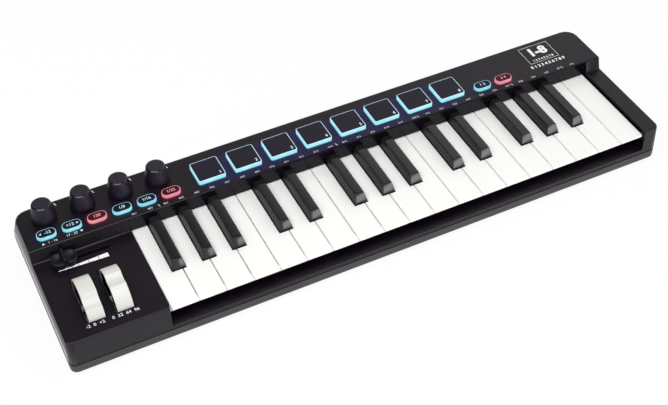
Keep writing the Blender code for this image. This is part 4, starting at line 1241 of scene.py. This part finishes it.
@dataclass
class Keyboard:
    """The white and black keys.

    Each black key is its CAD body, with a polished cap fitted over what stands above the white
    keys.
    """

    workshop: Workshop
    white_round: float = 0.14 * MM
    black_width: float = 8.86 * MM
    black_top: float = 6.5 * MM
    skirt: float = 1.15 * MM
    rise: float = 6.93 * MM
    nose: float = 2.5 * MM
    edge: float = 0.4 * MM
    corner: float = 0.35 * MM
    back_gap: float = 0.27 * MM
    sunk: float = 1.0 * MM
    crown: float = 0.3 * MM

    def build(self) -> None:
        """Copies each white key and rounds its edges, and caps each black one."""
        for node in WHITE_KEYS:
            piece = merged_copy(node.replace("key_", "white_key_"), node, cleared=True)
            round_edges(piece, self.white_round)
            self.workshop.place(piece, node, WHITE_KEY, "key_white", node)
        for node in BLACK_KEYS:
            self.workshop.coat(frame["nodes"][node], BLACK_KEY)
            self.workshop.place(self.black_cap(node), node, BLACK_KEY, "key_black")

    def black_cap(self, node: str) -> bpy.types.Object:
        """The cap over one black key.

        Its rings are round-cornered rectangles, point (u, v) = middle(v) + rectangle(u) of
        width(v) and length(v), at height(v). A ring's width and front edge follow a section that
        climbs the upright skirt, the leaning side and the round top edge, and then runs in over
        the flat top to a narrow ring along its middle.

        Args:
            node: The key.

        Returns:
            The closed cap.
        """
        half, top = self.black_width / 2, self.black_top / 2
        corners = [(0.0, -self.sunk), (0.0, self.skirt)]
        corners += [(half - top, self.rise), (half - self.crown, self.rise)]
        path = eased_path(corners, [0.0, 0.12 * MM, self.edge, 0.0], 7)
        inset, height = path.T
        climb = np.clip((height - self.skirt) / (self.rise - self.skirt), 0.0, 1.0)
        leaning = np.minimum(inset, half - top)
        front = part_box(node)[0].y - 0.03 * MM + leaning * self.nose / (half - top)
        front += inset - leaning
        back = KEY_FRONT + KEY_LENGTH - self.back_gap
        width = 2 * (half - inset)
        radius = np.minimum(self.corner - 0.1 * MM * climb, width * 0.45)
        rings, _ = round_rectangles(np.stack([width, back - front], axis=-1), radius, 5)
        middle = np.stack([np.full(len(path), middle_of(node).x), (front + back) / 2], axis=-1)
        grid = raised(rings + middle[:, None, :], KEY_TOP + height)
        return closed_grid(node.replace("key_", "black_cap_"), grid)


@dataclass
class Wheels:
    """The pitch and modulation wheels: a tread over recessed sides, with a finger notch."""

    workshop: Workshop
    radius: float = 19.8 * MM
    width: float = 10.6 * MM
    cut_depth: float = 5.5 * MM
    notch_radius: float = 7.0 * MM
    notch_depth: float = 2.3 * MM
    tread: float = 1.1 * MM
    recess: float = 1.2 * MM
    edge: float = 0.4 * MM
    bore: float = 3.6 * MM
    axle_radius: float = 2.0 * MM
    axle_reach: float = 2.6 * MM

    def rim(self, notch_angle: float) -> Outline:
        """The wheel seen from its side, in Y and Z.

        A ray at angle t meets the rim at the wheel's radius, at the flat cut below it, or at the
        notch's circle of radius r about a point d away: at d cos s - sqrt(r^2 - d^2 sin^2 s),
        s being the angle from the notch. The notch's edges are softened by
        (g + sqrt(g^2 + e^2)) / 2, g being how far the notch cuts in.

        Args:
            notch_angle: Degrees from straight up, negative towards the player.

        Returns:
            The rim's outline.
        """
        turns = around(360) + 0.003
        away = self.radius + self.notch_radius - self.notch_depth
        off = np.angle(np.exp(1j * (turns - math.radians(90.0 - notch_angle))))
        inside = self.notch_radius**2 - (away * np.sin(off)) ** 2
        facing = (inside > 0.0) & (np.abs(off) < 1.0)
        meets = away * np.cos(off) - np.sqrt(np.maximum(inside, 0.0))
        limit = math.asin(self.notch_radius / away)
        gap = np.where(facing, self.radius - meets, -np.abs(np.abs(off) - limit * 0.6) * away)
        soft = 0.1 * MM
        notch = (gap + np.sqrt(gap**2 + soft**2)) / 2
        notch = np.where(np.abs(off) < 2.2 * limit, notch, 0.0)
        below = np.where(np.sin(turns) < 0, -self.cut_depth / np.minimum(np.sin(turns), -1e-6), 1.0)
        return Outline.polar(turns, np.minimum(self.radius - notch, below))

    def build(self) -> None:
        """Builds both wheels, the dark disc inside each rim, and their axles."""
        half, side = self.width / 2, self.width / 2 - self.recess
        small, face = 0.12 * MM, side + 0.12 * MM
        near = [(self.bore, -side), (self.tread, -side), (self.tread, -half), (0.0, -half)]
        far = [(inset, -height) for inset, height in reversed(near)]
        radii = [0.0, small, small, self.edge, 2.0 * MM, self.edge, small, small, 0.0]
        section = eased_path([*near, (0.05 * MM, 0.0), *far], radii, 6)
        inner, outer = 14.0 * MM, self.tread - 0.03 * MM
        web = np.array([(inner, -face), (outer, -face), (outer, face), (inner, face)])
        chamfer, reach = 1.6 * MM, half + self.axle_reach
        corners = [(chamfer, -reach), (0.0, -reach), (0.0, reach), (chamfer, reach)]
        ends = eased_path(corners, [0.0, 0.3 * MM, 0.3 * MM, 0.0])
        for node, angle in (("pitch_wheel", -32.5), ("modulation_wheel", -7.0)):
            spot = middle_of(node)
            centre = (spot.x, spot.y, self.axle_height())
            rim = self.rim(angle)
            wheel = shell(f"{node}_rim", rim, section, centre, Axis.X)
            disc = shell(f"{node}_web", rim, web, centre, Axis.X)
            circle = Outline.circle(self.axle_radius, 32)
            axle = shell(f"{node}_axle", circle, ends, centre, Axis.X)
            self.workshop.place(wheel, node, WHEEL, "wheel_white", node)
            self.workshop.place(disc, node, FADER_PLASTIC, "case_black")
            self.workshop.place(axle, node, WHEEL, "wheel_white")

    def axle_height(self) -> float:
        """Z of the wheels' axles, from the joint that turns them."""
        joint = next(one for one in frame["joints"] if one["child"] == "pitch_wheel")
        return joint["pos_m"][2]


@dataclass
class Fader:
    """The fader's cap: two finger scoops with a ridge between them."""

    workshop: Workshop
    length: float = 17.0 * MM
    depth: float = 13.4 * MM
    waist: float = 0.12
    waist_width: float = 0.32
    bulge: float = 2.7
    rim_height: float = 4.7 * MM
    scoop_place: float = 4.4 * MM
    scoop_radius: float = 4.3 * MM
    scoop_depth: float = 1.9 * MM
    scoop_fall: float = 0.5 * MM
    ridge_height: float = 8.7 * MM
    ridge_width: float = 1.75 * MM
    ridge_fall: float = 0.9 * MM
    groove_width: float = 0.45 * MM
    groove_depth: float = 0.5 * MM
    edge: float = 0.8 * MM

    def surface(self, x: Array, y: Array) -> Array:
        """Height of the cap's top at points from its middle.

        Each scoop is a paraboloid of radius r about a point on the X axis, rim - depth *
        (1 - d^2 / r^2), cut off at the rim. The ridge is a bell across X with a fine groove along
        it. Both fall away with y^2, and the larger of the two is taken, softened by
        (a + b + sqrt((a - b)^2 + e^2)) / 2.

        Args:
            x: Distances along the slot.
            y: Distances across it.

        Returns:
            The heights above the deck.
        """
        bow = (y / self.depth * 2) ** 2
        away = (np.abs(x) - self.scoop_place) ** 2 + y**2
        dish = np.maximum(0.0, 1.0 - away / self.scoop_radius**2)
        scoop = self.rim_height - self.scoop_depth * dish - self.scoop_fall * bow
        bell = np.exp(-((np.abs(x) / self.ridge_width) ** 2.6))
        groove = self.groove_depth * np.exp(-((x / self.groove_width) ** 2))
        ridge = self.ridge_height * bell - self.ridge_fall * bow - groove
        soft = 0.5 * MM
        return (scoop + ridge + np.sqrt((scoop - ridge) ** 2 + soft**2)) / 2

    def build(self) -> None:
        """Builds the cap and its stem.

        The outline's radius is (|2 cos t / length|^b + |2 sin t / depth|^b)^(-1 / b), b being
        the bulge, pinched by a bell at its waist. Rings climb the side, turn in over a round
        edge, and shrink to the middle over the top: outline(u) * share(v).
        """
        low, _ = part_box("fader_cap")
        centre = middle_of("fader_cap")
        turns = around(120) + 0.013
        along = np.abs(np.cos(turns) / self.length * 2) ** self.bulge
        across = np.abs(np.sin(turns) / self.depth * 2) ** self.bulge
        pinch = 1.0 - self.waist * np.exp(-((np.cos(turns) / self.waist_width) ** 2))
        outline = Outline.polar(turns, (along + across) ** (-1 / self.bulge) * pinch)
        bend = np.linspace(0.0, np.pi / 2, 7)
        foot_insets, foot = np.array([0.6, 0.15, 0.0]) * MM, np.array([0.3, 0.3, 0.8]) * MM
        insets = np.concatenate([foot_insets, self.edge * (1 - np.cos(bend))])
        sides = outline.stepped_in(insets)
        shares = np.linspace(1.0, 0.02, 26)[1:]
        flat = np.concatenate([sides, sides[-1][None] * shares[:, None, None]])
        height = self.surface(flat[..., 0], flat[..., 1])
        height[len(foot) : len(insets)] -= self.edge * (1 - np.sin(bend))[:, None]
        height[: len(foot)] = foot[:, None]
        grid = raised(flat, height) + np.array([centre.x, centre.y, DECK])
        cap = closed_grid("fader_finger_cap", grid)
        self.workshop.place(cap, "fader_cap", FADER_PLASTIC, "fader_black", "fader_cap")
        rise = DECK + 1.2 * MM - low.z
        corners = [(0.4 * MM, 0.0), (0.0, 0.0), (0.0, rise), (0.3 * MM, rise)]
        section = eased_path(corners, [0.0, 0.2 * MM, 0.1 * MM, 0.0])
        blade = Outline.rounded(4.0 * MM, 1.2 * MM, 0.3 * MM, 4)
        stem = shell("fader_stem", blade, section, (centre.x, centre.y, low.z))
        self.workshop.place(stem, "fader_cap", STEEL, "frame_grey")


@dataclass
class Knobs:
    """The four knobs, turned from one profile."""

    workshop: Workshop
    base_radius: float = 8.4 * MM
    top_radius: float = 6.3 * MM
    height: float = 12.8 * MM
    skirt: float = 3.6 * MM
    rim: float = 0.7 * MM
    shaft: float = 2.2 * MM
    gap: float = 0.35 * MM

    def build(self) -> None:
        """Turns each knob: the section is (base radius - radius, height) carried round a circle."""
        for node in KNOBS:
            low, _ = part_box(node)
            spot = middle_of(node)
            bottom = low.z - PANEL
            corners = [
                (0.6 * MM, bottom),
                (self.shaft, bottom),
                (self.shaft, self.gap),
                (self.base_radius, self.gap),
                (self.base_radius - 0.15 * MM, self.skirt),
                (self.top_radius + 0.1 * MM, self.height - self.rim * 0.72),
                (self.top_radius - self.rim, self.height - 0.02 * MM),
                (self.top_radius - 2 * self.rim, self.height - 0.01 * MM),
                (0.5 * MM, self.height),
            ]
            reach = np.array([0.0, 0.2, 0.2, 0.5, 1.6, 0.15, 0.15, 0.1, 0.0]) * MM
            radius, height = eased_path(corners, reach, 6).T
            section = np.stack([self.base_radius - radius, height], axis=-1)
            circle = Outline.circle(self.base_radius, 96)
            knob = shell(f"{node}_cap", circle, section, (spot.x, spot.y, PANEL))
            self.workshop.place(knob, node, SOFT_TOUCH, "knob_black", node)


@dataclass(frozen=True)
class Figure:
    """What is printed on a control: figures, and an arrow beside them unless arrow is 0."""

    text: str
    size: float
    shift: Place
    weight: float
    arrow: int = 0
    arrow_size: float = 1.1 * MM
    arrow_away: float = 3.7 * MM

    def draw(self, sheet: PrintSheet, spot: Vector, height: float) -> None:
        """Draws the figures and the arrow.

        Args:
            sheet: The sheet that they are drawn on.
            spot: The control's middle.
            height: Z of the surface that they are printed on.
        """
        place = (spot.x + self.shift[0], spot.y + self.shift[1])
        sheet.number(self.text, self.size, place, height, self.weight)
        if self.arrow:
            beside = (spot.x + self.arrow * self.arrow_away, spot.y)
            sheet.triangle(self.arrow_size, 90.0 - 90.0 * self.arrow, beside, height)


@dataclass(frozen=True)
class ControlForm:
    """The sizes of a pad or a button: its rise over the panel and the width of its lit rim."""

    width: float
    depth: float
    corner: float
    rise: float
    rim: float
    flange: float = 1.1 * MM


@dataclass(frozen=True)
class ControlLook:
    """The finishes of a pad or a button, and its slot in the record."""

    silicone: Silicone
    top: Plastic
    ink: Ink
    slot: str


PAD_FORM = ControlForm(PAD_SIZE, PAD_SIZE, 1.6 * MM, rise=3.0 * MM, rim=0.5 * MM)
BUTTON_FORM = ControlForm(13.0 * MM, 7.4 * MM, 3.7 * MM, rise=2.5 * MM, rim=0.55 * MM)
PAD_LOOK = ControlLook(PAD_SILICONE, PAD_RUBBER, WHITE_INK, "pad_black")
NAVY_LOOK = ControlLook(CYAN_SILICONE, NAVY_TOP, CYAN_INK, "button_navy")
RED_LOOK = ControlLook(PINK_SILICONE, RED_TOP, PINK_INK, "button_red")


@dataclass
class LitControl:
    """A pad or a button: a lit silicone body with a flange, a dark top and a printed figure."""

    workshop: Workshop
    node: str
    form: ControlForm
    look: ControlLook
    figure: Figure

    def build(self) -> None:
        """Builds the body, the dark top and the figure."""
        spot = middle_of(self.node)
        slot, crest = self.look.slot, self.form.rise + 0.1 * MM
        self.workshop.place(self.body(spot), self.node, self.look.silicone, slot, self.node)
        self.workshop.place(self.plate(spot, crest), self.node, self.look.top, slot)
        sheet = PrintSheet(f"{self.node}_figure", 0.04 * MM)
        self.figure.draw(sheet, spot, PANEL + crest - 0.015 * MM)
        self.workshop.place(sheet.piece(), self.node, self.look.ink, slot)

    def body(self, spot: Vector) -> bpy.types.Object:
        """The lit body, a section with a flange under the panel carried round the outline.

        Args:
            spot: The control's middle.

        Returns:
            The body.
        """
        form = self.form
        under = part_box(self.node)[0].z - PANEL
        stop, foot = -2.5 * MM, -3.7 * MM
        corners = [(2.0 * MM, under), (0.2 * MM, under), (0.0, foot), (-form.flange, foot)]
        corners += [(-form.flange, stop), (0.0, stop), (0.0, form.rise)]
        corners += [(form.rim + 0.4 * MM, form.rise - 0.02 * MM)]
        reach = np.array([0.0, 0.1, 0.1, 0.2, 0.2, 0.1, 0.35, 0.0]) * MM
        section = eased_path(corners, reach, 6)
        outline = Outline.rounded(form.width, form.depth, form.corner, 12)
        return shell(f"{self.node}_body", outline, section, (spot.x, spot.y, PANEL))

    def plate(self, spot: Vector, crest: float) -> bpy.types.Object:
        """The dark top: rings climb a round edge and then shrink flat towards the middle.

        Args:
            spot: The control's middle.
            crest: The plate's height over the panel.

        Returns:
            The plate.
        """
        form = self.form
        width, depth = form.width - 2 * form.rim, form.depth - 2 * form.rim
        outline = Outline.rounded(width, depth, max(form.corner - form.rim, 0.9 * MM), 12)
        low = form.rise - 0.5 * MM
        corners = [(0.3 * MM, low), (0.0, low), (0.0, crest), (0.4 * MM, crest)]
        insets, heights = eased_path(corners, [0.0, 0.1 * MM, 0.14 * MM, 0.0], 5).T
        edge = outline.stepped_in(insets)
        shares = np.array([0.85, 0.6, 0.3, 0.05])
        flat = np.concatenate([edge, edge[-1][None] * shares[:, None, None]])
        grid = raised(flat, np.concatenate([heights, np.full(len(shares), crest)]))
        return closed_grid(f"{self.node}_top", grid + np.array([spot.x, spot.y, PANEL]))


@dataclass
class ControlSurface:
    """The pads and the buttons."""

    workshop: Workshop
    figures: tuple[str, ...] = ("-12", "+12", "120", "1/8", "1/16", "1/32", "1 2", "3 4")
    arrows: tuple[int, ...] = (-1, 1, 0, 0, 0, 0, 0, 0)

    def build(self) -> None:
        """Builds eight numbered pads and eight marked buttons."""
        corner = (6.7 * MM, -6.5 * MM)
        for number, node in enumerate(PADS, start=1):
            figure = Figure(str(number), 3.6 * MM, corner, 0.012)
            LitControl(self.workshop, node, PAD_FORM, PAD_LOOK, figure).build()
        for node, text, arrow in zip(BUTTONS, self.figures, self.arrows):
            look = RED_LOOK if node in PINK_BUTTONS else NAVY_LOOK
            figure = Figure(text, 3.4 * MM, (-arrow * 1.0 * MM, 0.0), 0.01, arrow)
            LitControl(self.workshop, node, BUTTON_FORM, look, figure).build()


# ---- studio


@dataclass
class Studio:
    """A pale floor, soft light and the camera at the photograph's viewing angle."""

    camera_place: Point = (-0.265267, -0.557650, 0.614579)
    camera_right: Point = (0.89900915, -0.43750797, -0.01921789)
    camera_up: Point = (0.32195427, 0.63054297, 0.70623014)
    lens: float = 67.148
    horizon: float = 1.0
    ceiling: float = 0.1
    wall_top: Place = (0.3, 0.58)
    lean: Place = (-0.8, -0.1)
    floor_white: float = 0.9

    def build(self) -> None:
        """Builds the studio."""
        self.floor()
        self.world()
        self.softbox("key_softbox", (-0.55, -0.6, 1.6), size=(1.8, 1.3), power=31.5)
        self.softbox("front_softbox", (0.75, -1.6, 0.14), size=(1.0, 0.26), power=4.6)
        self.camera()
        bpy.context.scene.view_settings.view_transform = "Standard"

    def floor(self) -> None:
        """Lays the floor, which shows as white and keeps a trace of the object's shadow."""
        mesh = bpy.data.meshes.new("floor")
        reach, level = 30.0, -0.05 * MM
        corners = [(-reach, -reach, level), (reach, -reach, level), (reach, reach, level)]
        mesh.from_pydata([*corners, (-reach, reach, level)], [], [(0, 1, 2, 3)])
        floor = link("floor", mesh)
        sheet = Surface("floor_paper")
        sheet.give("Base Color", (0.95, 0.95, 0.95))
        sheet.give("Roughness", 0.9)
        sheet.give("Specular IOR Level", 0.1)
        path = sheet.add("ShaderNodeLightPath", {}, {})
        seen = Wire(sheet, path.outputs["Is Camera Ray"])
        for ray in ("Is Glossy Ray", "Is Transmission Ray"):
            seen = seen.at_least(Wire(sheet, path.outputs[ray]))
        white = sheet.wire("ShaderNodeEmission", {}, {"Color": WHITE, "Strength": 1.0})
        mixed = {0: seen * self.floor_white, 1: sheet.shader, 2: white}
        sheet.plug(sheet.output.inputs["Surface"], sheet.wire("ShaderNodeMixShader", {}, mixed))
        mesh.materials.append(sheet.owner)

    def world(self) -> None:
        """Surrounds the scene with pale walls under a dimmer ceiling.

        The strength falls from the horizon's to the ceiling's as z + lean x * x + lean y * y
        climbs, so that the pale wall reaches higher at the right.
        """
        sheet = NodeSheet(bpy.data.worlds.new("studio"))
        bpy.context.scene.world = sheet.owner
        towards = sheet.wire("ShaderNodeTexCoord", {}, {}, "Generated")
        dot, by = {"operation": "DOT_PRODUCT"}, (*self.lean, 1.0)
        climb = sheet.wire("ShaderNodeVectorMath", dot, {0: towards, 1: by}, "Value")
        low, high = self.wall_top
        sockets = {"Value": climb, "From Min": low, "From Max": high}
        sockets |= {"To Min": self.horizon, "To Max": self.ceiling}
        strength = sheet.wire("ShaderNodeMapRange", SMOOTH, sockets)
        light = {"Color": WHITE, "Strength": strength}
        sheet.add(
            "ShaderNodeOutputWorld", {}, {0: sheet.wire("ShaderNodeBackground", {}, light)}
        )

    def softbox(self, name: str, place: Point, size: Place, power: float) -> None:
        """Hangs a rectangular lamp that faces the object.

        Args:
            name: The lamp's name.
            place: Where it hangs.
            size: Its width and height.
            power: Its power in watts.
        """
        lamp = bpy.data.lights.new(name, "AREA")
        lamp.shape = "RECTANGLE"
        lamp.size, lamp.size_y = size
        lamp.energy = power
        hung = bpy.data.objects.new(name, lamp)
        hung.location = place
        hung.rotation_mode = "QUATERNION"
        hung.rotation_quaternion = Vector(place).to_track_quat("Z", "Y")
        bpy.context.scene.collection.objects.link(hung)

    def camera(self) -> None:
        """Sets the camera where the photograph was taken from."""
        data = bpy.data.cameras.new("camera")
        data.lens = self.lens
        data.sensor_width = 36.0
        data.clip_start, data.clip_end = 0.01, 200.0
        camera = bpy.data.objects.new("camera", data)
        right = Vector(self.camera_right).normalized()
        up = Vector(self.camera_up)
        up = (up - right * up.dot(right)).normalized()
        turned = Matrix((right, up, right.cross(up))).transposed()
        camera.matrix_world = Matrix.Translation(self.camera_place) @ turned.to_4x4()
        bpy.context.scene.collection.objects.link(camera)
        bpy.context.scene.camera = camera


def main() -> None:
    logging.basicConfig(level=logging.INFO, format="%(name)s: %(message)s")
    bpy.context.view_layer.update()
    workshop = Workshop()
    for assembly in (
        Enclosure(workshop),
        Keyboard(workshop),
        Wheels(workshop),
        Fader(workshop),
        Knobs(workshop),
        ControlSurface(workshop),
        Studio(),
    ):
        assembly.build()
        log.info("%s is built", type(assembly).__name__)


if __name__ == "__main__":
    main()
